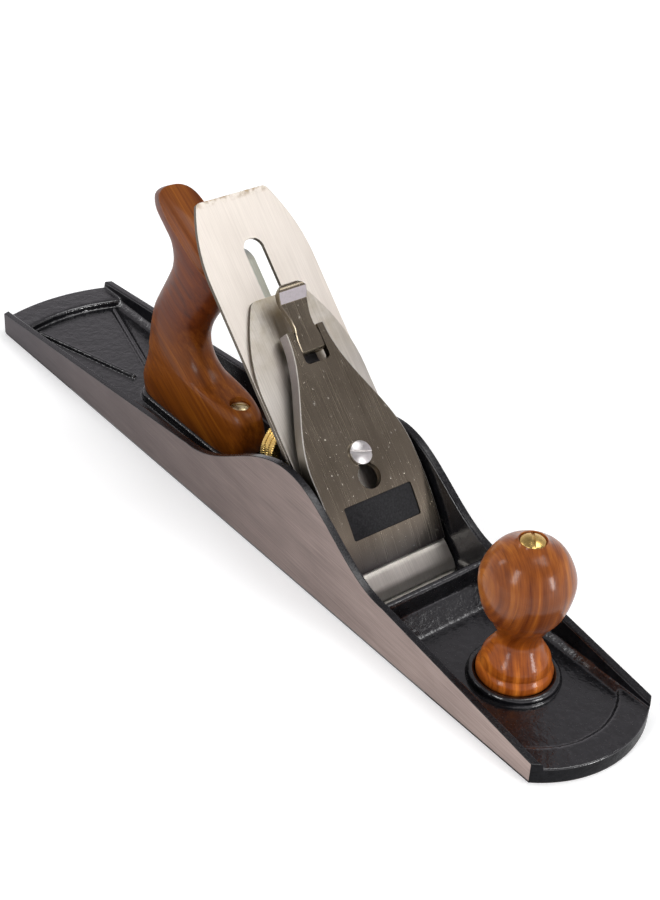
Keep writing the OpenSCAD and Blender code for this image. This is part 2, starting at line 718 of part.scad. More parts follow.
half_iron = iron_w / 2;
edge_rest = edge_set / sin(bed_angle);
shoulder = 40;                          // stretch over which the iron narrows at its top
top_half = 20;                          // iron's half width at its top
function iron_half(t) =
    let (u = clamp01((t - iron_len + shoulder) / shoulder))
    half_iron - (half_iron - top_half) * u * u;
cap_shoulder = 46;
cap_top_half = 15;
function cap_half(t) =
    let (u = clamp01((t - cap_end + cap_shoulder) / cap_shoulder))
    half_iron - (half_iron - cap_top_half) * u * u;
outline_step = 5;

screw_hole_r = cap_screw_head_r + 0.7;
screw_hole_t = 56;
module cutting_iron() {
    bevel = iron_t / tan(bevel_angle);
    color([0.86, 0.84, 0.78]) difference() {
        intersection() {
            bed_side([[edge_rest, 0], [iron_len, 0], [iron_len, -iron_t],
                      [edge_rest + bevel, -iron_t]], half_iron);
            bed_plan(concat([[0, half_iron]],
                            [for (t = [iron_len - shoulder : outline_step : iron_len])
                                [t, iron_half(t)]]), -iron_t - 1, 1);
        }
        bed_slot(screw_hole_t, iron_slot_end - iron_slot_w / 2, -iron_t - 1, 1, iron_slot_w / 2);
        bed_cyl(screw_hole_t, -iron_t - 1, 1, screw_hole_r);
    }
}

cap_set_back = 1.2;                     // cap iron's edge behind the cutting edge
cap_screw_t = 130;
cap_screw_r = 4.2;
hump = [[0, 0.3], [3.5, 0.62], [8.5, 1], [14.5, 1], [22, 0.5], [30, 0]];
module cap_iron() {
    nose = edge_rest + cap_set_back;
    color([0.74, 0.73, 0.69]) difference() {
        intersection() {
            bed_side(concat([[nose, 0]],
                            [for (p = hump) [nose + p[0], cap_t * min(1, (p[0] + 0.4) / 3.5)
                                                          + hump_h * (p[0] == 0 ? 0 : p[1])]],
                            [[cap_end, cap_t], [cap_end, 0]],
                            [for (i = [len(hump) - 1 : -1 : 2])
                                [nose + hump[i][0], hump_h * hump[i][1]]], [[nose + 3, 0]]),
                     half_iron);
            bed_plan(concat([[0, half_iron]],
                            [for (t = [cap_end - cap_shoulder : outline_step : cap_end])
                                [t, cap_half(t)]], [[cap_end, cap_half(cap_end)]]), -1, big);
        }
        bed_slot(lc_screw_t - 1, lc_screw_t + 1, -1, cap_t + 1, lc_screw_r + 1.1);
        bed_box(tip_t - tip_len / 2 - 0.25, tip_t + tip_len / 2 + 0.25, -1, cap_t + 1,
                yoke_half + slip);
        bed_cyl(cap_screw_t, -1, cap_t + 1, cap_screw_r + fit);
    }
}

cap_head_h = 3.4;
module cap_iron_screw() {
    color([0.6, 0.6, 0.58]) {
        bed_cyl(cap_screw_t, -iron_t, cap_t, cap_screw_r);
        on_bed() translate([-cap_screw_t, 0, -iron_t]) rotate([180, 0, 0])
            domed_head(cap_screw_head_r, cap_head_h - 1, 1, 1.6);
    }
}

// ---------- lever cap ----------

lc_wide = half_iron - 0.3;
lc_flare_end = 66;                      // station where the lever cap is at its full width
lc_fall = 62;                           // station where its top starts to fall to the front
lc_front_low = cap_t + hump_h + 0.15;
lc_front_top = lc_front_low + 1.1;
lc_arch = 50;                           // station where the underside reaches the plate
function lc_half(t) =
    lerp(lc_top_half, lc_wide, ease(clamp01((lc_end - t) / (lc_end - lc_flare_end))));
function lc_top_n(t) =
    lc_top - (lc_top - lc_front_top) * pow(clamp01((lc_fall - t) / (lc_fall - lc_front)), 2);
function lc_low_n(t) =
    let (u = clamp01((lc_arch - t) / (lc_arch - lc_front)))
    lerp(lc_top - lc_plate, lc_front_low, u * u);

lc_stations = [for (t = [lc_front : 3 : lc_fall]) t];
module lc_block(low_n, high_lift) {
    bed_side(concat([for (t = lc_stations) [t, lc_top_n(t) + high_lift]],
                    [[lc_end, lc_top + high_lift], [lc_end, low_n]],
                    [for (i = [len(lc_stations) - 1 : -1 : 0])
                        [lc_stations[i], min(low_n, lc_low_n(lc_stations[i]))]]), lc_wide);
}
module lc_outline(inset) {
    bed_plan(concat([[lc_front, lc_wide - inset]],
                    [for (t = [lc_flare_end : outline_step : lc_end]) [t, lc_half(t) - inset]]),
             0, big);
}

cam_pin_t = lc_end - 8;
cam_pin_n = lc_top - 3.9;
cam_pin_r = 1.6;
notch_half = 7;
notch_t = lc_end - 17;
panel_t = 43;                           // middle of the recessed panel
panel_len = 16;
panel_half = 20;
panel_depth = 0.8;
side_low = 5.6;                         // lower edge of the side walls
keyhole_r = lc_head_r + 0.4;
module lever_cap() {
    color([0.5, 0.49, 0.47]) difference() {
        union() {
            intersection() {
                lc_block(lc_top - lc_plate, 0);
                lc_outline(0);
            }
            intersection() {
                lc_block(side_low, 0);
                difference() {
                    lc_outline(0);
                    bed_plan(concat([[lc_front - 1, lc_wide - lc_side]],
                                    [for (t = [lc_flare_end : outline_step : lc_end])
                                        [t, max(lc_half(t) - lc_side, 0.5)]],
                                    [[lc_end + 1, lc_top_half - lc_side]]), -1, big);
                }
            }
            for (y = [-1, 1]) on_bed()
                translate([-lc_end, y * (notch_half + lc_top_half - 0.2) / 2
                           - (lc_top_half - 0.2 - notch_half) / 2, side_low])
                    cube([14, lc_top_half - 0.2 - notch_half, lc_top - side_low]);
        }
        bed_box(notch_t, lc_end + 1, 0, big, notch_half);
        bed_slot(lc_screw_t - lc_travel, lc_screw_t, 0, big, lc_screw_r + slip);
        bed_cyl(lc_screw_t - lc_travel, 0, big, keyhole_r);
        on_bed() translate([-cam_pin_t, -big / 2, cam_pin_n]) rotate([-90, 0, 0])
            cylinder(h = big, r = cam_pin_r + fit);
        bed_cyl(rivet_t, 0, big, rivet_r + fit);
        bed_side(concat([for (k = [0 : 4]) let (t = panel_t + (k / 4 - 0.5) * panel_len)
                            [t, lc_top_n(t) - panel_depth]],
                        [[panel_t + panel_len / 2, lc_top + 1], [panel_t - panel_len / 2, lc_top + 1]]),
                 panel_half);
    }
}

head_rise = 1.6;
module lever_cap_screw() {
    color([0.7, 0.69, 0.66]) {
        bed_cyl(lc_screw_t, frog_back_n - 3, lc_top + 0.1, lc_screw_r);
        on_bed() translate([-lc_screw_t, 0, lc_top + 0.1]) rotate([0, 0, 90])
            domed_head(lc_head_r, 1.6, head_rise, 1.5);
    }
}

cam_r = 4.2;
cam_throw = 1;
cam_half = notch_half - slip;
cam_thumb_half = 8.2;
// Clamping lever: an off-centre hub on the pin and an arm with a raised thumb piece
module cam_lever() {
    arm_low = lc_top - 2.8;
    tip = cam_pin_t + cam_len;
    color([0.55, 0.54, 0.52]) difference() {
        union() {
            on_bed() translate([-cam_pin_t, -cam_half, cam_pin_n - cam_throw]) rotate([-90, 0, 0])
                cylinder(h = 2 * cam_half, r = cam_r);
            bed_side([[cam_pin_t - 2.6, cam_pin_n], [cam_pin_t - 3.4, lc_top - 0.8],
                      [cam_pin_t, lc_top + 0.4], [tip - 9, lc_top + 0.8],
                      [tip - 4, lc_top + 2.2], [tip - 4, lc_top - 1],
                      [tip - 10, arm_low], [cam_pin_t + 3, cam_pin_n - 0.5]], cam_half);
            intersection() {
                bed_side([[tip - 12, lc_top + 0.7], [tip - 8, lc_top + 0.9], [tip - 3, lc_top + 3.4],
                          [tip, lc_top + 4], [tip, lc_top + 1.2], [tip - 3, lc_top - 0.6],
                          [tip - 12, arm_low]], cam_thumb_half);
                bed_plan([[tip - 14, cam_half], [tip - 9, cam_thumb_half],
                          [tip - 3.5, cam_thumb_half], [tip - 1, cam_thumb_half - 2], [tip, cam_thumb_half - 4.5]],
                         0, big);
            }
        }
        on_bed() translate([-cam_pin_t, -big / 2, cam_pin_n]) rotate([-90, 0, 0])
            cylinder(h = big, r = cam_pin_r + 0.06);
    }
}

module cam_pin() {
    color([0.6, 0.6, 0.6]) on_bed()
        translate([-cam_pin_t, -lc_top_half + 0.3, cam_pin_n]) rotate([-90, 0, 0])
            cylinder(h = 2 * (lc_top_half - 0.3), r = cam_pin_r);
}

spring_t = 0.7;
spring_half = 6;
rivet_t = notch_t - 9;
rivet_r = 1.6;
// Leaf under the lever cap that the cam presses on the cap iron
module lever_cap_spring() {
    under = lc_top - lc_plate;
    cam_low = cam_pin_n - cam_throw - cam_r - 0.25;
    start = rivet_t - 5;
    color([0.45, 0.45, 0.47]) difference() {
        bed_side([[start, under], [rivet_t + 4, under], [cam_pin_t - 7, cam_low + 0.2],
                  [cam_pin_t - 4, cam_low], [cam_pin_t + 5, cam_low],
                  [cam_pin_t + 5, cam_low - spring_t], [cam_pin_t - 4.5, cam_low - spring_t],
                  [cam_pin_t - 8, cam_low - spring_t + 0.3], [rivet_t + 3.4, under - spring_t],
                  [start, under - spring_t]], spring_half);
        bed_cyl(rivet_t, 0, big, rivet_r + fit);
    }
}

module spring_rivet() {
    under = lc_top - lc_plate - spring_t;
    color([0.6, 0.6, 0.6]) {
        bed_cyl(rivet_t, under - 0.8, lc_top, rivet_r);
        bed_cyl(rivet_t, under - 0.8, under, rivet_r + 1.2);
    }
}

// ---------- knob ----------

nut_recess = 3.2;
nut_rise = 1.8;
// Half outline of the knob as [radius, height] from its foot
module front_knob() {
    h = knob_h;
    profile = curve([[knob_foot_r - 1, 0], [knob_foot_r, 1.6], [knob_foot_r - 0.1, 4.4],
                     [knob_foot_r - 1.5, 6.8], [knob_foot_r - 1.4, 8.2], [knob_foot_r - 2.2, 11.5],
                     [knob_foot_r - 5, 0.22 * h], [knob_r * 0.46, 0.3 * h], [knob_r * 0.62, 0.41 * h],
                     [knob_r * 0.86, 0.52 * h], [knob_r, 0.69 * h], [knob_r * 0.94, 0.8 * h],
                     [knob_r * 0.72, 0.91 * h], [nut_r + 2.4, 0.975 * h], [nut_r + 0.2, h]], 4);
    color([0.62, 0.3, 0.1]) translate([knob_x, 0, knob_seat_z]) difference() {
        rotate_extrude($fn = 96) polygon(concat([[0, 0]], profile, [[0, h]]));
        translate([0, 0, -1]) cylinder(h = big, r = rod_r + fit);
        translate([0, 0, h - nut_recess]) cylinder(h = big, r = nut_r + 0.1);
    }
}

module knob_rod() {
    color([0.5, 0.48, 0.45]) translate([knob_x, 0, rod_foot_z])
        cylinder(h = knob_seat_z + knob_h - nut_recess - rod_foot_z, r = rod_r);
}

module knob_nut() {
    color([0.85, 0.66, 0.28]) translate([knob_x, 0, knob_seat_z + knob_h - nut_recess])
        domed_head(nut_r, nut_recess - 0.6, nut_rise, 1.6);
}

// ---------- tote ----------

// Rear and front of the tote: [part of its height, part of its length from the rear]
tote_back = curve([
    [0, 0.016], [0.066, 0], [0.164, 0.017], [0.295, 0.037], [0.426, 0.083], [0.508, 0.141],
    [0.607, 0.223], [0.689, 0.283], [0.754, 0.291], [0.82, 0.257], [0.869, 0.174], [0.91, 0.103],
    [0.951, 0.089], [0.975, 0.114], [1, 0.174]], 3);
tote_front = curve([
    [0, 0.973], [0.033, 0.993], [0.082, 1], [0.148, 0.996], [0.18, 0.978], [0.202, 0.935],
    [0.211, 0.87], [0.218, 0.783], [0.23, 0.674], [0.262, 0.592], [0.303, 0.538], [0.352, 0.504],
    [0.41, 0.507], [0.475, 0.543], [0.574, 0.63], [0.672, 0.711], [0.754, 0.776], [0.852, 0.793],
    [1, 0.793]], 3);

ring_points = 32;
grip_waist = 0.41;                      // height of the grip's slimmest section
grip_span = 0.33;
// Squareness of the section: squarer at the foot, round on the grip
function tote_power(h) = lerp(0.45, 0.86, clamp01((h - 0.066) / 0.21));
function tote_half(h) = tote_t / 2 * (1 - 0.1 * ease(clamp01(1 - abs(h - grip_waist) / grip_span)));
function tote_ring(h) =
    let (b = tote_len * read(tote_back, h), f = tote_len * read(tote_front, h),
         mid = (b + f) / 2, depth = (f - b) / 2, q = tote_power(h), w = tote_half(h))
    [for (k = [0 : ring_points - 1])
        let (a = 360 * k / ring_points, c = cos(a), s = sin(a))
        [tote_rear_x + mid + depth * sign(c) * pow(abs(c), q),
         w * sign(s) * pow(abs(s), q), tote_seat_h + h * tote_h]];
tote_levels = [
    0, 0.012, 0.033, 0.074, 0.123, 0.164, 0.189, 0.205, 0.215, 0.223, 0.234, 0.25, 0.27, 0.303,
    0.344, 0.385, 0.434, 0.492, 0.549, 0.607, 0.656, 0.705, 0.746, 0.787, 0.828, 0.861, 0.893,
    0.926, 0.959, 0.984, 1];

module loft(rings) {
    n = len(rings[0]);
    m = len(rings);
    polyhedron(points = [for (r = rings, p = r) p],
               faces = concat([[for (k = [0 : n - 1]) k]],
                              [for (i = [0 : m - 2], k = [0 : n - 1])
                                  let (a = i * n, j = (k + 1) % n) [a + k, a + n + k, a + n + j, a + j]],
                              [[for (k = [n - 1 : -1 : 0]) (m - 1) * n + k]]));
}

toe_screw_up = 0.178;                   // seat of the toe screw's head, as a part of the height
toe_recess_z = tote_seat_h + toe_screw_up * tote_h;
toe_head_r = 5;
module tote() {
    color([0.5, 0.24, 0.1]) difference() {
        loft([for (h = tote_levels) tote_ring(h)]);
        translate([nut_x, 0, nut_z]) rotate([0, top_slope, 0])
            translate([-big / 2, -big / 2, 0]) cube(big);
        on_rod() translate([0, 0, -5]) cylinder(h = rod_len + 20, r = rod_r + fit);
        on_rod() translate([0, 0, rod_len - tote_nut_recess]) cylinder(h = 30, r = nut_r + 0.4);
        translate([toe_screw_x, 0, 0]) cylinder(h = big, r = toe_screw_r + fit);
        translate([toe_screw_x, 0, toe_recess_z]) cylinder(h = big, r = toe_head_r + 0.5);
    }
}
tote_nut_recess = 4.5;

module tote_rod() {
    color([0.5, 0.48, 0.45]) on_rod() cylinder(h = rod_len - tote_nut_recess, r = rod_r);
}

module tote_nut() {
    color([0.85, 0.66, 0.28]) on_rod() translate([0, 0, rod_len - tote_nut_recess])
        domed_head(nut_r, 2, nut_rise, 1.6);
}

module tote_toe_screw() {
    color([0.82, 0.7, 0.42]) translate([toe_screw_x, 0, 0]) {
        translate([0, 0, rod_foot_z]) cylinder(h = toe_recess_z - rod_foot_z, r = toe_screw_r);
        translate([0, 0, toe_recess_z]) rotate([0, 0, 55]) domed_head(toe_head_r, 2, 1.6, 1.6);
    }
}

body_casting();
frog();
frog_screws();
frog_washers();
frog_adjust_screw();
frog_adjust_clip();
frog_clip_screw();
depth_stud();
depth_wheel();
adjusting_yoke();
yoke_pin();
lateral_lever();
lateral_roller();
lateral_pivot();
cutting_iron();
cap_iron();
cap_iron_screw();
lever_cap();
lever_cap_screw();
cam_lever();
cam_pin();
lever_cap_spring();
spring_rivet();
front_knob();
knob_rod();
knob_nut();
tote();
tote_rod();
tote_nut();
tote_toe_screw();
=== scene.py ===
"""Looks of a metal bench hand plane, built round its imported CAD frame.

X runs from heel to toe, Y across, Z up, and the sole lies on z = 0. Lengths in this script
are millimetres until place() turns a finished mesh into metres. Bed pieces are drawn in
their own axes: t up the cutting iron from its edge, y across, n out of its upper face.
"""

from math import asin, atan2, cos, degrees, pi, radians, sin, sqrt

import bmesh
import bpy
import numpy as np
from mathutils import Matrix, Vector

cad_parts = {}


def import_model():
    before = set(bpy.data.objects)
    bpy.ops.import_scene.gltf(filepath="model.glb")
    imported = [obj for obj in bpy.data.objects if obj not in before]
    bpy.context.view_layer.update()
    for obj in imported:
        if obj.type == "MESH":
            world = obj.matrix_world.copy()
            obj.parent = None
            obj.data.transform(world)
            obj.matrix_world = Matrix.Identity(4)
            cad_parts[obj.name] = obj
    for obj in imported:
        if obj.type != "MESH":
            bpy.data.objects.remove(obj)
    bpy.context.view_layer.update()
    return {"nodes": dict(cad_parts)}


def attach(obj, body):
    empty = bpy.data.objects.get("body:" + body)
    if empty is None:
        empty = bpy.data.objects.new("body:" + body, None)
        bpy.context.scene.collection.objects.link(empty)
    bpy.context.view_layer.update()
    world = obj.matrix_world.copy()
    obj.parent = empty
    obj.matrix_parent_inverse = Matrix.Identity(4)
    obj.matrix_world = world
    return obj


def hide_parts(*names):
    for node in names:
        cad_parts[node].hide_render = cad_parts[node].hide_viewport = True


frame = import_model()
nodes = frame["nodes"]
scene = bpy.context.scene
MM = 0.001
M = {}          # finishes by name


# ---------- sizes, as in the CAD model ----------

BODY_LEN, HALF_W, WALL = 457.0, 36.0, 4.0
TOE_X, HEEL_X = BODY_LEN / 2, -BODY_LEN / 2
TOE_ARC, HEEL_ARC = 55.0, 103.0
HEEL_H, TOE_H, PEAK_H = 13.5, 11.0, 59.0
REAR_FOOT_H, FRONT_FOOT_H = 28.5, 26.5
MOUTH_X, PEAK_X = 96.0, 44.5
REAR_FOOT_X, FRONT_FOOT_X = PEAK_X - 80.0, PEAK_X + 73.0
TOE_CORNER_X = TOE_X - TOE_ARC + sqrt(TOE_ARC**2 - HALF_W**2)
HEEL_CORNER_X = HEEL_X + HEEL_ARC - sqrt(HEEL_ARC**2 - HALF_W**2)

HALF_IRON, IRON_T, IRON_LEN, EDGE_T = 30.0, 2.4, 210.0, 0.43
IRON_TOP_HALF, IRON_SHOULDER, GRIND = 20.0, 40.0, radians(25)
KEYHOLE_T, KEYHOLE_R, IRON_SLOT_END, IRON_SLOT_HALF = 56.0, 9.2, 187.0, 5.55
CAP_T, CAP_END, CAP_HUMP, CAP_NOSE = 2.2, 157.0, 2.4, EDGE_T + 1.2
CAP_TOP_HALF, CAP_SHOULDER, YOKE_SLOT_T, YOKE_SLOT_HALF = 15.0, 46.0, 84.0, 2.7
CAP_SCREW_T, CAP_SCREW_R = 130.0, 8.5
LC_FRONT, LC_END, LC_TOP, LC_PLATE, LC_SIDE = 20.0, 136.0, 12.5, 3.6, 2.6
LC_WIDE, LC_NARROW, LC_FLARE_END, LC_FALL, LC_ARCH = 29.7, 10.8, 66.0, 62.0, 50.0
LC_LOW, LC_SCREW_T, LC_TRAVEL, LC_HEAD_R, LC_SLOT_HALF = 5.6, 72.0, 11.5, 5.8, 3.4
LC_GAP = CAP_T + CAP_HUMP + 0.15      # where the lever cap's nose bears on the cap iron
PANEL_LOW, PANEL_HIGH, PANEL_HALF, PANEL_DEPTH = 35.0, 51.0, 20.0, 0.8
NOTCH_DEPTH, NOTCH_HALF, RIVET_T, RIVET_R = 17.0, 7.0, 110.0, 1.65
CAM_T, CAM_N, CAM_LEN, CAM_HALF = LC_END - 8, LC_TOP - 3.9, 30.0, 6.7
BED_N = -IRON_T - 0.05
LEVER_N, LEVER_T, LEVER_PIVOT_T = BED_N - 0.2, 1.5, 93.5

WHEEL_Z, WHEEL_R, WHEEL_W, WHEEL_X = 35.0, 16.0, 9.0, -2.0
FLANGE_R, STUD_R = 9.5, 3.57

KNOB_X, KNOB_Z, KNOB_H, KNOB_R, KNOB_FOOT_R = 167.0, 7.5, 73.0, 20.9, 17.1
NUT_R, ROD_BORE_R, NUT_SHANK_R = 5.9, 3.25, 3.1
TOTE_REAR_X, TOTE_LEN, TOTE_T, TOTE_H, TOTE_Z = -120.0, 92.0, 25.0, 122.0, 10.5
ROD_LEAN, TOP_SLOPE = radians(22), radians(31)
NUT_X, NUT_Z = TOTE_REAR_X + 0.613 * TOTE_LEN, TOTE_Z + 0.803 * TOTE_H
ROD_Z = 1.5
ROD_X = NUT_X - (NUT_Z - ROD_Z) * np.tan(ROD_LEAN)
ROD_LEN = (NUT_Z - ROD_Z) / cos(ROD_LEAN)
NUT_RECESS = 4.5
TOE_SCREW_X, TOE_SCREW_Z, TOE_HEAD_R = -41.0, TOTE_Z + 0.178 * TOTE_H, 5.0
FROG_SCREW_X, FROG_SCREW_Y, FROG_SCREW_Z = 56.0, 12.0, 22.2

H = sqrt(0.5)
BED = Matrix(((-H, 0, H, MOUTH_X), (0, 1, 0, 0), (H, 0, H, 0), (0, 0, 0, 1)))
ROD = Matrix.Translation((ROD_X, 0, ROD_Z)) @ Matrix.Rotation(ROD_LEAN, 4, "Y")


def lerp(a, b, u):
    return a + (b - a) * u


def share(x, start, end):
    """How far x lies on the way from start to end."""
    return (x - start) / (end - start)


def clamp(u):
    return max(0.0, min(1.0, u))


def ease(u):
    return (1 - np.cos(pi * u)) / 2


def shift(x, y, z):
    return Matrix.Translation((x, y, z))


def circle(count):
    """Cosine and sine of evenly spaced turns."""
    return [(cos(2 * pi * k / count), sin(2 * pi * k / count)) for k in range(count)]


def cheek_heights(x):
    """Height of the cheeks at each station of an array."""
    rear = lerp(HEEL_H, REAR_FOOT_H, share(x, HEEL_CORNER_X, REAR_FOOT_X))
    up = lerp(REAR_FOOT_H, PEAK_H, ease(share(x, REAR_FOOT_X, PEAK_X)))
    down = lerp(PEAK_H, FRONT_FOOT_H, ease(share(x, PEAK_X, FRONT_FOOT_X)))
    front = lerp(FRONT_FOOT_H, TOE_H, share(x, FRONT_FOOT_X, TOE_CORNER_X))
    tops = np.select([x < REAR_FOOT_X, x < PEAK_X, x < FRONT_FOOT_X], [rear, up, down], front)
    return np.clip(tops, np.where(x < 0, HEEL_H, TOE_H), PEAK_H)


# ---------- mesh tools ----------

def spline(points, steps):
    """A smooth line through points, each stretch cut into steps."""
    line = []
    last = len(points) - 1
    for i in range(last):
        a, b, c, d = (Vector(points[k]) for k in (max(i - 1, 0), i, i + 1, min(i + 2, last)))
        for k in range(steps):
            u = k / steps
            line.append(0.5 * (2 * b + (c - a) * u + (2 * a - 5 * b + 4 * c - d) * u * u
                               + (3 * b - a - 3 * c + d) * u**3))
    return line + [Vector(points[last])]


def round_corners(points, radius, steps=5):
    """A closed outline with each corner rounded, where its sides leave room."""
    out = []
    count = len(points)
    for i, p in enumerate(points):
        p = Vector(p)
        a, b = Vector(points[i - 1]) - p, Vector(points[(i + 1) % count]) - p
        turn = a.angle(b)
        if turn > radians(165):
            out.append(p)
            continue
        reach = min(radius / np.tan(turn / 2), a.length * 0.45, b.length * 0.45)
        start, end = p + a.normalized() * reach, p + b.normalized() * reach
        for k in range(steps + 1):
            u = k / steps
            out.append(start * (1 - u) ** 2 + p * 2 * u * (1 - u) + end * u * u)
    return out


def lathe(profile, segments=64):
    """Turns a line of (radius, height) points round the Z axis."""
    bm = bmesh.new()
    rings = []
    for r, z in profile:
        if r < 1e-6:
            rings.append([bm.verts.new((0, 0, z))])
        else:
            rings.append([bm.verts.new((r * c, r * s, z)) for c, s in circle(segments)])
    for low, high in zip(rings, rings[1:]):
        for k in range(segments):
            j = (k + 1) % segments
            corners = [low[k % len(low)], low[j % len(low)], high[j % len(high)], high[k % len(high)]]
            face = list(dict.fromkeys(corners))
            if len(face) > 2:
                bm.faces.new(face)
    return bm


def wall_faces(bm, rings):
    """Faces between each ring of points and the next."""
    count = len(rings[0])
    for low, high in zip(rings, rings[1:]):
        for k in range(count):
            j = (k + 1) % count
            bm.faces.new((low[k], low[j], high[j], high[k]))


def loft(rings):
    """Joins rings of equal point counts, in order, and closes the first and the last."""
    bm = bmesh.new()
    made = [[bm.verts.new(p) for p in ring] for ring in rings]
    wall_faces(bm, made)
    bm.faces.new(made[0])
    bm.faces.new(made[-1])
    return bm


def add_object(data):
    obj = bpy.data.objects.new(data.name, data)
    scene.collection.objects.link(obj)
    return obj


def plate(outline, low, high, holes=(), bevel=0.0):
    """A flat plate from closed outlines, between two levels, with rounded edges."""
    curve = bpy.data.curves.new("plate", "CURVE")
    curve.dimensions, curve.fill_mode = "2D", "BOTH"
    curve.extrude, curve.bevel_depth, curve.bevel_resolution = (high - low) / 2 - bevel, bevel, 1
    curve.offset = -bevel
    for ring in [outline, *holes]:
        line = curve.splines.new("POLY")
        line.points.add(len(ring) - 1)
        for point, p in zip(line.points, ring):
            point.co = (p[0], p[1], 0, 1)
        line.use_cyclic_u = True
    obj = add_object(curve)
    mesh = bpy.data.meshes.new_from_object(obj)
    bm = bmesh.new()
    bm.from_mesh(mesh)
    bmesh.ops.translate(bm, verts=bm.verts, vec=(0, 0, (low + high) / 2))
    bmesh.ops.remove_doubles(bm, verts=bm.verts, dist=1e-4)
    bpy.data.objects.remove(obj)
    bpy.data.curves.remove(curve)
    bpy.data.meshes.remove(mesh)
    return bm


def arc(cx, cy, r, start, end, steps):
    """Points on an arc, angles in degrees."""
    turns = [radians(lerp(start, end, k / steps)) for k in range(steps + 1)]
    return [(cx + r * cos(a), cy + r * sin(a)) for a in turns]


def split(bm, point, normal, **how):
    """Cuts a mesh along a plane."""
    return bmesh.ops.bisect_plane(bm, geom=bm.verts[:] + bm.edges[:] + bm.faces[:], plane_co=point,
                                  plane_no=normal, dist=1e-5, **how)


def slices(bm, stations):
    """Cuts a mesh at stations along X, so that it can bend there."""
    for x in stations:
        split(bm, (x, 0, 0), (1, 0, 0))


def shave(bm, point, normal):
    """Cuts off what lies beyond a plane and closes the cut."""
    rim = split(bm, point, normal, clear_outer=True)["geom_cut"]
    edges = [e for e in rim if isinstance(e, bmesh.types.BMEdge)]
    bmesh.ops.holes_fill(bm, edges=edges, sides=0)


def solid(bm, matrix=None):
    """An object in millimetres from a mesh under construction."""
    if matrix is not None:
        bm.transform(matrix)
    bmesh.ops.recalc_face_normals(bm, faces=bm.faces)
    if bm.calc_volume(signed=True) < 0:
        bmesh.ops.reverse_faces(bm, faces=bm.faces)
    mesh = bpy.data.meshes.new("piece")
    bm.to_mesh(mesh)
    bm.free()
    return add_object(mesh)


def modify(obj, kind, **settings):
    """Gives an object one modifier with its settings and applies it."""
    mod = obj.modifiers.new("modify", kind)
    for key, value in settings.items():
        setattr(mod, key, value)
    graph = bpy.context.evaluated_depsgraph_get()
    mesh = bpy.data.meshes.new_from_object(obj.evaluated_get(graph), depsgraph=graph)
    old = obj.data
    obj.modifiers.clear()
    obj.data = mesh
    bpy.data.meshes.remove(old)


def combine(obj, other, how="DIFFERENCE"):
    """Cuts other out of obj, or joins it on, and removes other."""
    modify(obj, "BOOLEAN", operation=how, solver="EXACT", object=other)
    bpy.data.objects.remove(other)


def weld(obj, gap=0.02):
    """Joins points nearer than a small gap, which cutting can leave along an edge."""
    bm = bmesh.new()
    bm.from_mesh(obj.data)
    bmesh.ops.remove_doubles(bm, verts=bm.verts, dist=gap)
    bmesh.ops.dissolve_degenerate(bm, edges=bm.edges, dist=gap / 4)
    bmesh.ops.holes_fill(bm, edges=[e for e in bm.edges if e.is_boundary], sides=4)
    bm.to_mesh(obj.data)
    bm.free()


def soften(obj, width, segments=2, angle=32):
    """Rounds the sharp edges by a small width."""
    modify(obj, "BEVEL", width=width, segments=segments, limit_method="ANGLE", angle_limit=radians(angle),
           use_clamp_overlap=True, miter_outer="MITER_ARC")


def place(obj, name, body, node, finishes, crease=38, flat=False):
    """Turns a finished piece into metres, names it, sets its body and finishes and hides its CAD node.

    With flat, large faces set the normals, so that they shade flat beside rounded edges.
    """
    obj.data.transform(Matrix.Scale(MM, 4))
    obj.name = obj.data.name = name
    obj.data.materials.clear()
    for finish in finishes:
        obj.data.materials.append(M[finish])
    faces = obj.data.polygons
    faces.foreach_set("material_index", [0] * len(faces))
    faces.foreach_set("use_smooth", [True] * len(faces))
    obj.data.set_sharp_from_angle(angle=radians(crease))
    if flat:
        modify(obj, "WEIGHTED_NORMAL", weight=100, keep_sharp=True)
    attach(obj, body)
    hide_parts(node)


def finish_faces(obj, pick):
    """Gives each face the finish that pick numbers, from face centres in mm and normals."""
    count = len(obj.data.polygons)
    centres, normals = np.empty(count * 3), np.empty(count * 3)
    obj.data.polygons.foreach_get("center", centres)
    obj.data.polygons.foreach_get("normal", normals)
    found = pick(centres.reshape(-1, 3) / MM, normals.reshape(-1, 3))
    obj.data.polygons.foreach_set("material_index", found.astype(int))


def sides_second(centres, normals):
    """The second finish for the faces that look sideways."""
    return np.abs(normals[:, 1]) > 0.4


def box_mesh(low, high):
    bm = bmesh.new()
    bmesh.ops.create_cube(bm, size=1)
    for v in bm.verts:
        v.co = Vector([lerp(low[k], high[k], v.co[k] + 0.5) for k in range(3)])
    return bm


def cylinder_mesh(r, low, high, segments=64):
    return lathe([(0, low), (r, low), (r, high), (0, high)], segments)


def stepped_mesh(r, low, step, wide, high, segments=64):
    """A bore and its counterbore in one: r wide up to the step, and wider above it."""
    return lathe([(0, low), (r, low), (r, step), (wide, step), (wide, high), (0, high)], segments)


# ---------- materials ----------

class Nodes:
    """A node tree with short ways to add nodes and feed their inputs."""

    def __init__(self, tree):
        self.tree = tree

    def feed(self, node, inputs):
        """Links each input that is given another node's output, and sets the others."""
        for key, value in inputs.items():
            socket = node.inputs[key]
            if isinstance(value, bpy.types.NodeSocket):
                self.tree.links.new(value, socket)
            else:
                socket.default_value = (*value, 1) if socket.type == "RGBA" else value

    def node(self, kind, inputs, **settings):
        n = self.tree.nodes.new(kind)
        for key, value in settings.items():
            setattr(n, key, value)
        self.feed(n, inputs)
        return n

    def ramp(self, fac, stops):
        n = self.node("ShaderNodeValToRGB", {"Fac": fac})
        elements = n.color_ramp.elements
        while len(elements) < len(stops):
            elements.new(0.5)
        for element, (at, color) in zip(elements, stops):
            element.position, element.color = at, (*color, 1)
        return n.outputs["Color"]


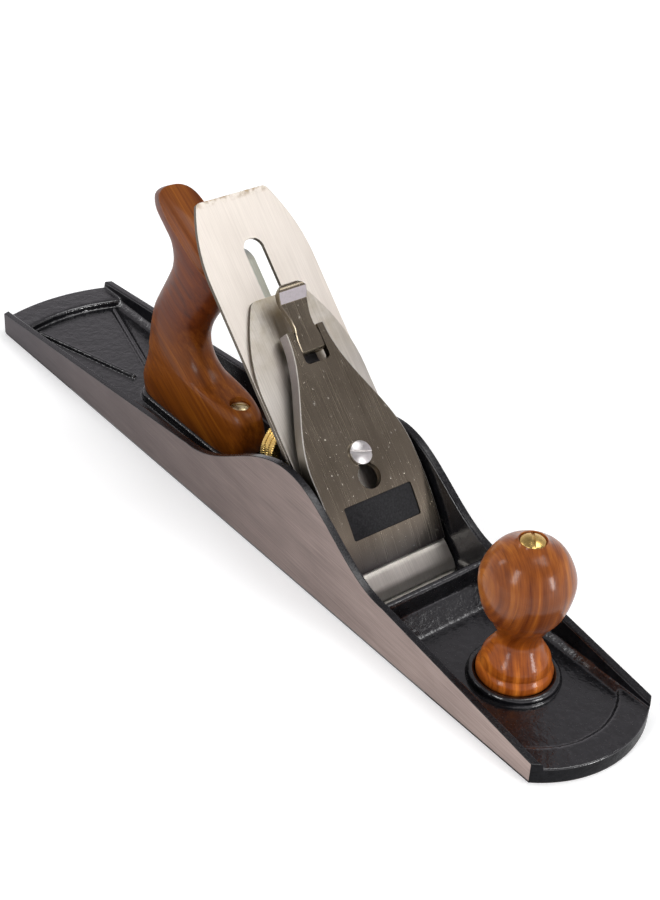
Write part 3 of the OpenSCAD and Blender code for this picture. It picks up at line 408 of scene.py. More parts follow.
class Finish(Nodes):
    """A Principled material with helpers for its procedural detail, kept in M by its name."""

    def __init__(self, name, color, metallic=0.0, roughness=0.5, **sockets):
        M[name] = bpy.data.materials.new(name)
        M[name].use_nodes = True
        super().__init__(M[name].node_tree)
        self.shader = self.tree.nodes["Principled BSDF"]
        self.feed(self.shader, {"Base Color": color, "Metallic": metallic, "Roughness": roughness})
        self.feed(self.shader, {key.replace("_", " "): value for key, value in sockets.items()})
        self.normal = None

    def here(self):
        return self.node("ShaderNodeTexCoord", {}).outputs["Object"]

    def noise(self, size, turn=(0, 0, 0), detail=3.0, rough=0.55, distortion=0.0):
        """Noise with features of one size in metres, or of a size along each of three turned axes."""
        sizes = size if isinstance(size, tuple) else (size, size, size)
        turns = [radians(a) for a in turn]
        mapping = self.node("ShaderNodeMapping", {"Vector": self.here(), "Scale": sizes, "Rotation": turns},
                            vector_type="TEXTURE")
        return self.node("ShaderNodeTexNoise", {
            "Vector": mapping.outputs["Vector"], "Scale": 1, "Detail": detail, "Roughness": rough,
            "Distortion": distortion}).outputs["Fac"]

    def distance(self, direction):
        """Metres along a direction."""
        return self.node("ShaderNodeVectorMath", {0: self.here(), 1: direction},
                         operation="DOT_PRODUCT").outputs["Value"]

    def along(self, direction, start, end):
        """0 to 1 along a direction, between two distances in metres."""
        return self.remap(self.distance(direction), start, end)

    def up_bed(self, start, end):
        """0 to 1 up the bed, between two stations."""
        foot = MOUTH_X * H
        return self.along((-H, 0, H), (start - foot) * MM, (end - foot) * MM)

    def remap(self, fac, low, high, to_low=0.0, to_high=1.0):
        return self.node("ShaderNodeMapRange", {
            "Value": fac, "From Min": low, "From Max": high, "To Min": to_low, "To Max": to_high}
        ).outputs["Result"]

    def mix(self, fac, a, b, how="MIX"):
        return self.node("ShaderNodeMix", {0: fac, 6: a, 7: b}, data_type="RGBA", blend_type=how).outputs[2]

    def math(self, how, a, b):
        return self.node("ShaderNodeMath", {0: a, 1: b}, operation=how).outputs[0]

    def blend(self, *parts):
        """The sum of outputs, each times its share."""
        scaled = [self.math("MULTIPLY", socket, weight) for socket, weight in parts]
        total = scaled[0]
        for part in scaled[1:]:
            total = self.math("ADD", total, part)
        return total

    def bump(self, height, strength, distance):
        """Adds relief to what is there already."""
        n = self.node("ShaderNodeBump", {"Strength": strength, "Distance": distance, "Height": height})
        if self.normal:
            self.feed(n, {"Normal": self.normal})
        self.normal = n.outputs["Normal"]
        self.feed(self.shader, {"Normal": self.normal})

    def color(self, socket):
        self.feed(self.shader, {"Base Color": socket})

    def tint(self, color, factor):
        """Colours the finish with one colour times another."""
        self.color(self.mix(1.0, color, factor, "MULTIPLY"))

    def rough(self, fac, low, high):
        """Roughness from low to high as the middle of a noise rises."""
        self.feed(self.shader, {"Roughness": self.remap(fac, 0.3, 0.7, low, high)})


def ground_iron():
    """Ground faces: fine lines nearly along the body, with painted light and shade: darker towards the heel
    and lighter towards the toe.
    """
    f = Finish("ground_iron", (0.2, 0.16, 0.15), 0.85, 0.42)
    slant = (0, 4, 0)
    fine = f.noise((0.02, 0.02, 0.0003), slant, 2, 0.6)
    lines = f.noise((0.04, 0.04, 0.0008), slant, 3, 0.6)
    cloud = f.noise((0.03, 0.03, 0.012), slant, 2)
    color = f.ramp(f.blend((fine, 0.4), (lines, 0.35), (cloud, 0.25)), [
        (0.34, (0.14, 0.11, 0.104)), (0.5, (0.198, 0.159, 0.15)), (0.66, (0.27, 0.22, 0.206))])
    # painted light and shade: the tone is darkest at the heel and lightest at the toe
    f.tint(color, f.ramp(f.along((1, 0, 0), -0.2, 0.2), [
        (0, (0.32, 0.33, 0.38)), (0.5, (0.92, 0.88, 0.86)), (1, (1.85, 1.8, 1.72))]))
    f.rough(lines, 0.38, 0.5)
    f.bump(f.math("ADD", lines, fine), 0.1, 0.00015)


def enamel(name, gloss, shine):
    """Black enamel, wrinkled between the cheeks and smooth on their tops."""
    f = Finish(name, (0.006, 0.006, 0.008), 0, gloss, Specular_IOR_Level=shine)
    wrinkle = f.noise(0.0042, (20, 35, 10), 3, 0.6, 0.4)
    fine = f.noise(0.0011, (10, 0, 40), 2, 0.5)
    off_centre = f.math("ABSOLUTE", f.distance((0, 1, 0)), 0)
    inside = f.remap(off_centre, (HALF_W - WALL - 0.5) * MM, (HALF_W - WALL + 0.5) * MM, 1, 0.03)
    f.color(f.ramp(wrinkle, [(0.35, (0.004, 0.004, 0.005)), (0.75, (0.011, 0.011, 0.013))]))
    f.rough(fine, gloss - 0.04, gloss + 0.12)
    f.bump(f.math("MULTIPLY", wrinkle, inside), 0.5, 0.0006)
    f.bump(f.math("MULTIPLY", fine, inside), 0.15, 0.00025)


def brushed(name, dark, light, roughness, tarnish=None):
    """Steel with fine lines up the bed, and optional golden tarnish towards one end."""
    f = Finish(name, light, 1.0, roughness)
    turn = (0, 45, 0)
    lines = f.noise((0.03, 0.0004, 0.012), turn, 3, 0.6)
    cloud = f.noise((0.04, 0.012, 0.02), turn)
    color = f.ramp(f.blend((lines, 0.6), (cloud, 0.4)), [(0.3, dark), (0.68, light)])
    if tarnish:
        start, end, tint, size, soft = tarnish
        band = f.up_bed(start, end)
        spots = f.remap(f.noise(size, turn, 5, 0.6), 0.52 - soft, 0.52 + soft)
        color = f.mix(f.math("MULTIPLY", band, spots), color, tint)
    f.color(color)
    f.rough(lines, roughness - 0.06, roughness + 0.08)
    f.bump(lines, 0.1, 0.00015)


def plated(name, dark, light, roughness):
    """Polished plating with faint streaks and small pits, and a painted dark reflection low on its front
    fall.
    """
    f = Finish(name, light, 1.0, roughness)
    streaks = f.noise((0.05, 0.0005, 0.02), (0, 45, 0), 4, 0.6)
    cloud = f.noise((0.025, 0.016, 0.016), (0, 45, 0))
    pit = f.remap(f.noise(0.0013, (15, 30, 0), 1), 0.72, 0.78)
    tone = f.ramp(f.blend((streaks, 0.45), (cloud, 0.55)), [(0.3, dark), (0.7, light)])
    # painted reflection: darker and bluer from the nose up to t = 38, where the front fall reflects dark
    # surroundings
    f.tint(f.mix(pit, tone, (0.5, 0.48, 0.43)), f.ramp(f.up_bed(LC_FRONT, 38), [
        (0, (0.3, 0.33, 0.42)), (0.35, (0.5, 0.53, 0.6)), (1, (1, 1, 1))]))
    f.rough(streaks, roughness - 0.04, roughness + 0.1)
    f.bump(pit, 0.35, 0.0002)
    f.bump(cloud, 0.12, 0.0008)


def cast_recess():
    """The lever cap's panel: a matt black ground, grained by the mould."""
    f = Finish("panel_recess", (0.01, 0.01, 0.011), 0, 0.55, Specular_IOR_Level=0.25)
    grain = f.noise(0.0009, detail=2, rough=0.6)
    f.color(f.ramp(grain, [(0.35, (0.006, 0.006, 0.007)), (0.7, (0.022, 0.022, 0.024))]))
    f.bump(grain, 0.5, 0.0003)


def plain_steel(name, color, roughness):
    f = Finish(name, color, 1.0, roughness)
    grain = f.noise(0.0012, detail=4, rough=0.65)
    f.color(f.ramp(grain, [(0.3, tuple(c * 0.8 for c in color)), (0.7, color)]))
    f.rough(grain, roughness - 0.04, roughness + 0.08)
    f.bump(grain, 0.1, 0.0002)


def cap_side():
    """The lever cap's sides: as its top low down the bed, and paler bare casting up by the cam."""
    f = Finish("cap_side", (0.3, 0.27, 0.26), 1.0, 0.42)
    grain = f.noise(0.0012, detail=4, rough=0.65)
    color = f.ramp(f.up_bed(58, 120), [
        (0, (0.17, 0.148, 0.11)), (0.55, (0.24, 0.21, 0.175)), (1, (0.37, 0.34, 0.35))])
    f.color(f.mix(f.remap(grain, 0.3, 0.7, 0, 0.25), color, (0.1, 0.09, 0.075)))
    f.bump(grain, 0.1, 0.0002)


def brass(name, color, roughness):
    f = Finish(name, color, 1.0, roughness)
    cloud = f.noise(0.004, (0, 20, 0), 4, 0.6)
    f.color(f.ramp(cloud, [(0.3, tuple(c * 0.62 for c in color)), (0.65, color)]))
    f.rough(cloud, roughness - 0.06, roughness + 0.12)


def wood(name, tones, grain_size, turn, coat, gloss, painted_light, rings=0.0):
    """Polished hardwood: streaks and dark pores along the grain under a clear coat."""
    f = Finish(name, tones[1], 0, 0.42, Coat_Weight=coat, Coat_Roughness=gloss, Specular_IOR_Level=0.1)
    narrower = [tuple(s * (k if s < 0.01 else 0.7) for s in grain_size) for k in (0.3, 0.12)]
    streaks = f.noise(grain_size, turn, 4, 0.55, 0.15)
    fine = f.noise(narrower[0], turn, 3, 0.6)
    pores = f.noise(narrower[1], turn, 2, 0.6)
    color = f.ramp(f.blend((streaks, 0.65), (fine, 0.35)), list(zip((0.3, 0.5, 0.7), tones)))
    # painted_light lays painted light and shade over the wood's own tone
    f.color(f.mix(f.remap(pores, 0.58, 0.74, 0, 0.55), painted_light(f, color), tuple(c * 0.4 for c in tones[0])))
    f.rough(streaks, 0.36, 0.55)
    f.bump(pores, 0.1 + rings, 0.0002)
    if rings:
        f.bump(f.noise((0.5, 0.5, 0.0007), detail=1), rings, 0.0003)


def knob_painted_light(f, color):
    """Painted light and shade: paler at the turned foot, and deeper with painted shade under the bell."""
    height = f.ramp(f.along((0, 0, 1), 0.0075, 0.08), [
        (0, (1.75, 1.6, 1.5)), (0.22, (1.5, 1.4, 1.3)), (0.42, (0.72, 0.6, 0.45)), (0.68, (0.85, 0.8, 0.7)),
        (1, (1, 1, 1))])
    return f.mix(1.0, color, height, "MULTIPLY")


def tote_painted_light(f, color):
    """Painted light and shade: golden at the foot, browner and shaded up the grip, and a lit orange on the
    sawn flat at the top.
    """
    # painted light and shade by height: golden at the foot, darker up the grip
    height = f.ramp(f.along((0, 0, 1), 0.014, 0.12), [
        (0, (1.15, 1.05, 0.5)), (0.3, (1.05, 1.0, 0.6)), (0.52, (0.62, 0.44, 0.42)), (1, (0.62, 0.42, 0.4))])
    out = (sin(TOP_SLOPE), 0, cos(TOP_SLOPE))
    top = (out[0] * NUT_X + out[2] * NUT_Z) * MM
    # painted light on the upward sawn flat
    flat = f.along(out, top - 0.0015, top - 0.0003)
    return f.mix(1.0, color, f.mix(flat, height, (1.1, 1.0, 0.6)), "MULTIPLY")


ground_iron()
enamel("enamel", 0.16, 1.0)
enamel("end_enamel", 0.3, 0.08)
enamel("rim_enamel", 0.2, 0.4)
enamel("frog_enamel", 0.24, 0.5)
brushed("blade_steel", (0.68, 0.625, 0.555), (0.845, 0.79, 0.715), 0.46,
        tarnish=(206.5, 210.3, (0.3, 0.19, 0.06), 0.003, 0.09))
brushed("cap_steel", (0.52, 0.49, 0.44), (0.8, 0.76, 0.69), 0.38,
        tarnish=(108, 164, (0.33, 0.26, 0.13), 0.011, 0.22))
brushed("lever_steel", (0.5, 0.54, 0.5), (0.72, 0.77, 0.72), 0.34)
plated("nickel", (0.18, 0.15, 0.11), (0.285, 0.245, 0.185), 0.2)
plain_steel("edge_steel", (0.13, 0.108, 0.085), 0.45)
plain_steel("cast_nickel", (0.36, 0.33, 0.345), 0.42)
plain_steel("worn_edge", (0.62, 0.6, 0.55), 0.35)
plain_steel("screw_nickel", (0.6, 0.58, 0.57), 0.34)
plain_steel("steel", (0.55, 0.54, 0.52), 0.34)
plain_steel("yoke_iron", (0.13, 0.13, 0.135), 0.5)
# painted shade: the spring is near black, so that where it shows through the lever cap's notch it reads as
# shade
plain_steel("spring_steel", (0.1, 0.1, 0.105), 0.45)
cap_side()
cast_recess()
brass("brass", (0.83, 0.57, 0.19), 0.24)
brass("pale_brass", (0.86, 0.72, 0.42), 0.28)
wood("knob_wood", [(0.115, 0.023, 0.003), (0.27, 0.07, 0.008), (0.5, 0.165, 0.02)],
     (0.0034, 0.018, 0.12), (0, 3, 70), 0.5, 0.18, knob_painted_light, 0.25)
wood("tote_wood", [(0.08, 0.02, 0.004), (0.18, 0.05, 0.009), (0.3, 0.1, 0.016)],
     (0.12, 0.0032, 0.007), (25, 32, 0), 0.2, 0.2, tote_painted_light)


# ---------- castings ----------

def cad_solid(node):
    """A copy of a CAD node, in millimetres."""
    mesh = nodes[node].data.copy()
    mesh.transform(Matrix.Scale(1 / MM, 4))
    bm = bmesh.new()
    bm.from_mesh(mesh)
    bmesh.ops.remove_doubles(bm, verts=bm.verts, dist=1e-3)
    bpy.data.meshes.remove(mesh)
    return solid(bm)


def run_together(obj, voxel, passes, locked=None):
    """Rounds a solid's edges and corners as casting does, apart from its locked points."""
    modify(obj, "REMESH", mode="VOXEL", voxel_size=voxel, adaptivity=0)
    group = ""
    if locked:
        group = "free"
        free = np.nonzero(~locked(points_of(obj)))[0]
        obj.vertex_groups.new(name=group).add([int(i) for i in free], 1.0, "REPLACE")
    modify(obj, "SMOOTH", factor=0.5, iterations=passes, vertex_group=group)
    obj.vertex_groups.clear()
    return obj


def points_of(obj):
    co = np.empty(len(obj.data.vertices) * 3)
    obj.data.vertices.foreach_get("co", co)
    return co.reshape(-1, 3)


def set_points(obj, co):
    obj.data.vertices.foreach_set("co", co.astype(np.float32).ravel())
    obj.data.update()


CAST_VOXEL = 0.75
END_STEPS, SIDE_STEPS = 24, 200
WELL_HALF = HALF_W - WALL
HEEL_RIM, TOE_RIM, LOWEST_FLOOR = 10.0, 8.0, 5.9
MOUTH_FRONT, MOUTH_BACK = MOUTH_X + 2.4, MOUTH_X - 5.59
ON_EDGE = Matrix.Rotation(pi / 2, 4, "X")      # stands an outline drawn in x and z on edge
# each end's centre, radius, rim height and direction
ENDS = ((HEEL_X + HEEL_ARC, HEEL_ARC, HEEL_RIM, -1), (TOE_X - TOE_ARC, TOE_ARC, TOE_RIM, 1))


def half_plan(side_in, end_in):
    """One half of the casting's outline from above, heel to toe, drawn in at its side and ends."""
    w = HALF_W - side_in
    line = []
    for centre, radius, _, sign in ENDS:
        r = radius - end_in
        turns = [asin(w / r) * k / END_STEPS for k in range(END_STEPS + 1)]
        arc_points = [(centre + sign * r * cos(a), r * sin(a)) for a in turns]
        if sign > 0:
            start, end = line[-1][0], arc_points[-1][0]
            line += [(lerp(start, end, k / SIDE_STEPS), w) for k in range(1, SIDE_STEPS)]
            arc_points.reverse()
        line += arc_points
    return line


def whole_plan(side_in, end_in):
    half = half_plan(side_in, end_in)
    return half + [(x, -y) for x, y in half[-2:0:-1]]


def outer_shell():
    """The casting without its hollow: ground sides and sole, true ends and cheek tops."""
    bm = bmesh.new()
    count = len(half_plan(0, 0))
    rings = []
    # levels below 0 are measured down from the cheek tops
    for inset, level in ((0.45, 0), (0, 1.5), (0, -0.35), (0.1, -0.1), (0.35, -0.001)):
        whole = whole_plan(inset, inset)
        levels = [level] * len(whole)
        if level < 0:
            levels = cheek_heights(np.array([x for x, y in whole])) + level
        rings.append([bm.verts.new((x, y, z)) for (x, y), z in zip(whole, levels)])
    wall_faces(bm, rings)
    for ring in (rings[0], rings[-1]):
        for k in range(count - 1):
            bm.faces.new(list(dict.fromkeys((ring[k], ring[k + 1], ring[-k - 1], ring[-k]))))
    return solid(bm)


def edge_cutter(path, r):
    """Rounds the top edge along a path of corners, each with its direction out of the metal."""
    rings = []
    for corner, out in path:
        profile = [(r * cos(a) - r + 0.07, r * sin(a) - r + 0.04) for a in np.linspace(0, pi / 2, 7)]
        profile += [(0.07 - r, 1.2), (1.2, 1.2), (1.2, 0.04 - r)]
        rings.append([Vector(corner) + Vector((out[0] * u, out[1] * u, v)) for u, v in profile])
    return solid(loft(rings))


def extruded(outline, low, high, matrix=None):
    return solid(loft([[(x, y, z) for x, y in outline] for z in (low, high)]), matrix)


def hollow():
    """The open space between the cheeks, with the mouth, as one smooth-cornered solid."""
    space = extruded(whole_plan(WALL, 1), LOWEST_FLOOR, 90)
    for x0, x1, level in ((HEEL_X - 8, HEEL_X + 20, HEEL_RIM), (TOE_X - 20, TOE_X + 8, TOE_RIM)):
        combine(space, solid(box_mesh((x0, -WELL_HALF, level), (x1, WELL_HALF, 90))), "UNION")
    mouth = [(MOUTH_BACK + 3, -3), (MOUTH_FRONT, -3), (MOUTH_FRONT, 6.5), (MOUTH_BACK - 6.5, 6.5)]
    combine(space, extruded(mouth, -HALF_IRON - 1, HALF_IRON + 1, ON_EDGE), "UNION")
    combine(space, cad_solid("body_casting"))
    return run_together(space, CAST_VOXEL, 14)


def casting_finish(centres, normals):
    """Ground cheeks and sole, plain enamel at the ends and on the cheek tops, wrinkled enamel inside."""
    x, y, z = centres.T
    across, up = np.abs(normals[:, 1]), normals[:, 2]
    ground = ((np.abs(y) > HALF_W - 0.05) & (across > 0.99)) | ((z < 0.05) & (up < -0.99))
    past = np.maximum(*(np.hypot(x - centre, y) - radius for centre, radius, _, _ in ENDS))
    ends = (past > -0.12) & (np.abs(up) < 0.3) & (np.abs(x) > 150)
    rims = (np.abs(y) > WELL_HALF + 0.15) & (up > 0.3)
    return np.select([ground, ends, rims], [1, 2, 3])


def casting():
    obj = outer_shell()
    stations = np.arange(HEEL_X - 6, TOE_X + 6, 2.0)
    tops = cheek_heights(stations)
    for side in (-1, 1):
        path = [((x, side * WELL_HALF, z), (0, -side)) for x, z in zip(stations, tops)]
        combine(obj, edge_cutter(path, 1.3))
    combine(obj, hollow())
    for centre, r, level, sign in ENDS:
        reach = asin((WELL_HALF - 0.3) / r)
        ways = [(sign * cos(a), sin(a)) for a in np.linspace(-reach, reach, 40)]
        combine(obj, edge_cutter([((centre + r * x, r * y, level), (x, y)) for x, y in ways], 0.9))
    lip = arc(KNOB_FOOT_R + 2.1, 7.75, 1.75, 0, 180, 14)
    ring = [(KNOB_FOOT_R + 4.7, 5.5), (KNOB_FOOT_R + 4.2, 6.3), (KNOB_FOOT_R + 3.9, 7)] + lip
    ring = lathe(ring + [(KNOB_FOOT_R + 0.35, 6.9), (KNOB_FOOT_R + 0.35, 5.5), ring[0]], 96)
    bmesh.ops.remove_doubles(ring, verts=ring.verts, dist=1e-4)
    combine(obj, solid(ring, shift(KNOB_X, 0, 0)), "UNION")
    place(obj, "casting", "casting", "body_casting", ["enamel", "ground_iron", "end_enamel", "rim_enamel"],
          flat=True)
    finish_faces(obj, casting_finish)


def bed_levels(co):
    """t and n of each point."""
    x, z = co[:, 0] - MOUTH_X, co[:, 2]
    return (z - x) * H, (z + x) * H


def frog():
    def locked(co):
        t, n = bed_levels(co)
        return (n > BED_N - 0.5) | (co[:, 2] < 16.5)
    obj = run_together(cad_solid("frog"), 0.8, 4, locked)
    co = points_of(obj)
    t, n = bed_levels(co)
    face = np.abs(n - BED_N) < 0.35
    gap = BED_N - n[face]
    co[face, 0] += gap * H
    co[face, 2] += gap * H
    seat = co[:, 2] < 16.35
    co[seat, 2] = 16
    set_points(obj, co)
    place(obj, "frog_casting", "frog", "frog", ["frog_enamel"])


# ---------- iron and cap iron ----------

def mirrored(points):
    """A closed outline from its half with y above 0, given from low t to high t."""
    return list(points) + [(x, -y) for x, y in reversed(points)]


def iron_outline(start, straight, end, shoulder, top_half, stations, corner):
    """An outline as wide as the iron, which narrows over its shoulder up to its end."""
    half = [(start, HALF_IRON), (straight, HALF_IRON)]
    for t in (*stations, end):
        u = clamp(share(t, end - shoulder, end))
        half.append((t, HALF_IRON - (HALF_IRON - top_half) * u * u))
    return round_corners(mirrored(half), corner)


def rectangle(low, high, half):
    return [(low, -half), (high, -half), (high, half), (low, half)]


def keyhole(t_round, r_round, t_end, r_slot, steps=20):
    """A round hole with a slot running on from it to a rounded end."""
    a = degrees(asin(r_slot / r_round))
    sign = 1 if t_end > t_round else -1
    ring = arc(t_round, 0, r_round, a, 360 - a, steps) + arc(t_end - sign * r_slot, 0, r_slot, -90, 90, steps)
    return ring if sign > 0 else [(2 * t_round - x, y) for x, y in ring]


def cutting_iron():
    outline = iron_outline(-2, 130, IRON_LEN, IRON_SHOULDER, IRON_TOP_HALF, range(170, 210, 4), 3.5)
    slot = keyhole(KEYHOLE_T, KEYHOLE_R, IRON_SLOT_END, IRON_SLOT_HALF)
    bm = plate(outline, -IRON_T, 0, [slot], 0.25)
    shave(bm, (EDGE_T, 0, 0), (-sin(GRIND), 0, -cos(GRIND)))
    obj = solid(bm, BED)
    place(obj, "cutting_iron_blade", "iron", "cutting_iron", ["blade_steel", "edge_steel"], 50, flat=True)
    finish_faces(obj, sides_second)


def cap_hump(t):
    """Height of the cap iron's back over the iron, at station t."""
    line = [(0, 0.0), (3.5, 0.62), (8.5, 1.0), (14.5, 1.0), (22, 0.5), (30, 0.0)]
    u = t - CAP_NOSE
    if u <= 0:
        return 0.0
    for (a, va), (b, vb) in zip(line, line[1:]):
        if u <= b:
            way = share(u, a, b)
            return CAP_HUMP * lerp(va, vb, ease(way) if a >= 14.5 or b <= 3.5 else way)
    return 0.0


def cap_iron():
    outline = iron_outline(CAP_NOSE, CAP_END - CAP_SHOULDER, CAP_END, CAP_SHOULDER, CAP_TOP_HALF,
                           range(116, 155, 5), 5)
    yoke_slot = rectangle(YOKE_SLOT_T - 2, YOKE_SLOT_T + 2, YOKE_SLOT_HALF)
    screw_slot = arc(71, 0, 4.2, 90, 270, 14) + arc(73, 0, 4.2, -90, 90, 14)
    bm = plate(outline, 0, CAP_T, [screw_slot, yoke_slot], 0.25)
    bends = (0.6, 1.2, 2, 2.8, 3.6, 4.6, 5.6, 7, 8.5, 10, 12, 14.5, *range(16, 31, 2))
    slices(bm, [CAP_NOSE + u for u in bends])
    for v in bm.verts:
        u = v.co.x - CAP_NOSE
        thin = clamp((u + 0.6) / 3.6)
        low = cap_hump(v.co.x) if u > 3 else cap_hump(v.co.x) * clamp((u - 1.5) / 1.5)
        v.co.z = low + v.co.z * thin + (cap_hump(v.co.x) - low) * clamp(v.co.z / CAP_T)
    obj = solid(bm, BED)
    place(obj, "cap_iron_plate", "iron", "cap_iron", ["cap_steel", "edge_steel"], 50, flat=True)
    finish_faces(obj, sides_second)


def moved(obj, matrix):
    obj.data.transform(matrix)
    if matrix.determinant() < 0:
        obj.data.flip_normals()
    return obj


def fastener(name, body, node, finish, stand, r, edge, rise, shank_r, shank_low, slot_depth=1.6, slot_w=1.2,
             turn=0.0):
    """A domed head with its underside on z = 0, a driver slot turned by degrees, and a shank below."""
    dome = (r * r + rise * rise) / (2 * rise)
    profile = [(0, shank_low), (shank_r * 0.8, shank_low), (shank_r, shank_low + 0.6), (shank_r, 0),
               (r - 0.25, 0), (r - 0.05, 0.3), (r, edge - 0.25), (r - 0.12, edge)]
    top = edge + rise
    for k in range(9, -1, -1):
        out = r * k / 10 * 0.97
        profile.append((out, top - dome + sqrt(dome**2 - out**2)))
    obj = solid(lathe(profile, 64))
    blade = box_mesh((-r - 1, -slot_w / 2, top - slot_depth), (r + 1, slot_w / 2, top + 1))
    blade.transform(Matrix.Rotation(radians(turn), 4, "Z"))
    combine(obj, solid(blade))
    soften(obj, 0.12, 1, 50)
    place(moved(obj, stand), name, body, node, [finish])


def at_bed(t, n, way=1):
    """The matrix that stands a fastener on the bed at t, its axis along n, up (1) or down (-1)."""
    return BED @ Matrix(((-way, 0, 0, t), (0, 1, 0, 0), (0, 0, way, n), (0, 0, 0, 1)))


# ---------- lever cap ----------

def lc_half(t):
    return lerp(LC_NARROW, LC_WIDE, ease(clamp(share(t, LC_END, LC_FLARE_END))))


def lc_top(t):
    return lerp(LC_TOP, LC_GAP + 1.1, clamp(share(t, LC_FALL, LC_FRONT)) ** 2)


def lc_under(t):
    return lerp(LC_TOP - LC_PLATE, LC_GAP, clamp(share(t, LC_ARCH, LC_FRONT)) ** 2)


def lever_cap_finish(centres, normals):
    """Plating on top, the panel's black floor, cast sides and worn edges."""
    t, n = bed_levels(centres)
    y = np.abs(centres[:, 1])
    tops, reach = (np.array([level(v) for v in t]) for level in (lc_top, lc_half))
    outward = (normals[:, 0] + normals[:, 2]) * H      # 1 where a face looks straight out of the bed
    floor = (n < tops - PANEL_DEPTH + 0.2) & (t > PANEL_LOW) & (t < PANEL_HIGH) & (y < PANEL_HALF)
    floor &= outward > 0.64
    edge = (np.abs(outward) > 0.3) & (np.abs(outward) < 0.97) & (y > reach - 0.5) & (n > LC_LOW + 0.4)
    side = (np.abs(outward) < 0.3) & (y > LC_NARROW - 3)
    return np.select([floor, edge, side], [1, 3, 2])


def lever_cap():
    stations = list(np.arange(LC_FRONT, LC_FALL, 1.5)) + list(np.arange(LC_FALL, LC_END, 2.0)) + [LC_END]
    rings = []
    for t in stations:
        w, top, under = lc_half(t), lc_top(t), lc_under(t)
        low = min(LC_LOW, under)
        inner_w = w - LC_SIDE
        ring = [(-w, low), (-w, top - 0.4), (-w + 0.12, top - 0.12)]
        ring += [(-w + 0.4 + (2 * w - 0.8) * k / 12, top) for k in range(13)]
        ring += [(w - 0.12, top - 0.12), (w, top - 0.4), (w, low), (inner_w, low)]
        gap = under - low
        ring += [(inner_w, low + gap * 0.6), (inner_w - min(1.2, gap), under)]
        ring += [(-inner_w + min(1.2, gap), under), (-inner_w, low + gap * 0.6), (-inner_w, low)]
        rings.append([(t, y, n) for y, n in ring])
    obj = solid(loft(rings), BED)

    notch = box_mesh((LC_END - NOTCH_DEPTH, -NOTCH_HALF, 0), (LC_END + 1, NOTCH_HALF, 30))
    upright = [e for e in notch.edges if abs(e.verts[0].co.z - e.verts[1].co.z) > 1]
    inner = [e for e in upright if e.verts[0].co.x < LC_END]
    bmesh.ops.bevel(notch, geom=inner, offset=2.2, segments=5, profile=0.5, affect="EDGES")
    combine(obj, solid(notch, BED))
    slot = keyhole(LC_SCREW_T - LC_TRAVEL, LC_HEAD_R + 0.4, LC_SCREW_T + LC_SLOT_HALF, LC_SLOT_HALF)
    combine(obj, solid(plate(slot, 0, 30), BED))
    recess = plate(round_corners(rectangle(PANEL_LOW, PANEL_HIGH, PANEL_HALF), 1.2), 0, 30)
    slices(recess, np.arange(PANEL_LOW + 1, PANEL_HIGH, 1.5))
    for v in recess.verts:
        if v.co.z < 15:
            v.co.z = lc_top(v.co.x) - PANEL_DEPTH
    combine(obj, solid(recess, BED))
    combine(obj, solid(cylinder_mesh(RIVET_R, 0, 30, 32), at_bed(RIVET_T, 0)))
    weld(obj)
    place(obj, "lever_cap_plate", "lever_cap", "lever_cap",
          ["nickel", "panel_recess", "cap_side", "worn_edge"], 40, flat=True)
    finish_faces(obj, lever_cap_finish)


def along_y(r, half, segments, t, n):
    """A cylinder across the bed, centred at t and n."""
    bm = cylinder_mesh(r, -half, half, segments)
    bm.transform(shift(t, 0, n) @ ON_EDGE)
    return solid(bm, BED)


def section(w, low, high, c):
    """A section w to each side, between two levels, with its corners cut by c."""
    return [(-w, low + c), (-w + c, low), (w - c, low), (w, low + c),
            (w, high - c), (w - c, high), (-w + c, high), (-w, high - c)]


def cam_lever():
    """A cam hub in the lever cap's notch, a flat waisted arm and a thumb piece that turns up."""
    # distance up from the pin, low n, high n, half width
    stations = [(-3.6, 9.6, 11.4, CAM_HALF), (-2.6, 8, 12.5, CAM_HALF), (3, 7.4, 12.9, CAM_HALF),
                (6, 8.8, 12.95, 6.2), (9, 9.6, 13.0, 5.4), (13, 9.9, 13.0, 5.6), (17, 10.0, 13.0, 6.5),
                (21, 10.2, 13.1, 7.6), (21.5, 10.25, 13.2, 7.7), (24, 11.0, 14.75, 8.1),
                (26.6, 12.0, 16.3, 8.0), (27.3, 12.4, 16.45, 7.6), (CAM_LEN - 1.4, 13.0, 16.2, 6.6),
                (CAM_LEN - 0.4, 13.6, 15.6, 5.3), (CAM_LEN, 14.2, 15.0, 4.4)]
    rings = []
    for up, low, high, w in stations:
        c = min(0.35, (high - low) / 3)
        rings.append([(CAM_T + up, y, n) for y, n in section(w, low, high, c)])
    obj = solid(loft(rings), BED)
    combine(obj, along_y(4.2, CAM_HALF, 64, CAM_T, CAM_N - 1), "UNION")
    combine(obj, along_y(1.66, 20, 32, CAM_T, CAM_N))
    place(obj, "cam_lever_arm", "cam", "cam_lever", ["nickel", "cast_nickel"], 24, flat=True)
    finish_faces(obj, lambda centres, normals: (normals[:, 0] > 0.93) & (normals[:, 2] > 0))


# ---------- depth adjuster ----------

def on_stud(x):
    """The matrix that lays what is drawn along Z on the depth wheel's axis."""
    return shift(x, 0, WHEEL_Z) @ Matrix.Rotation(pi / 2, 4, "Y")


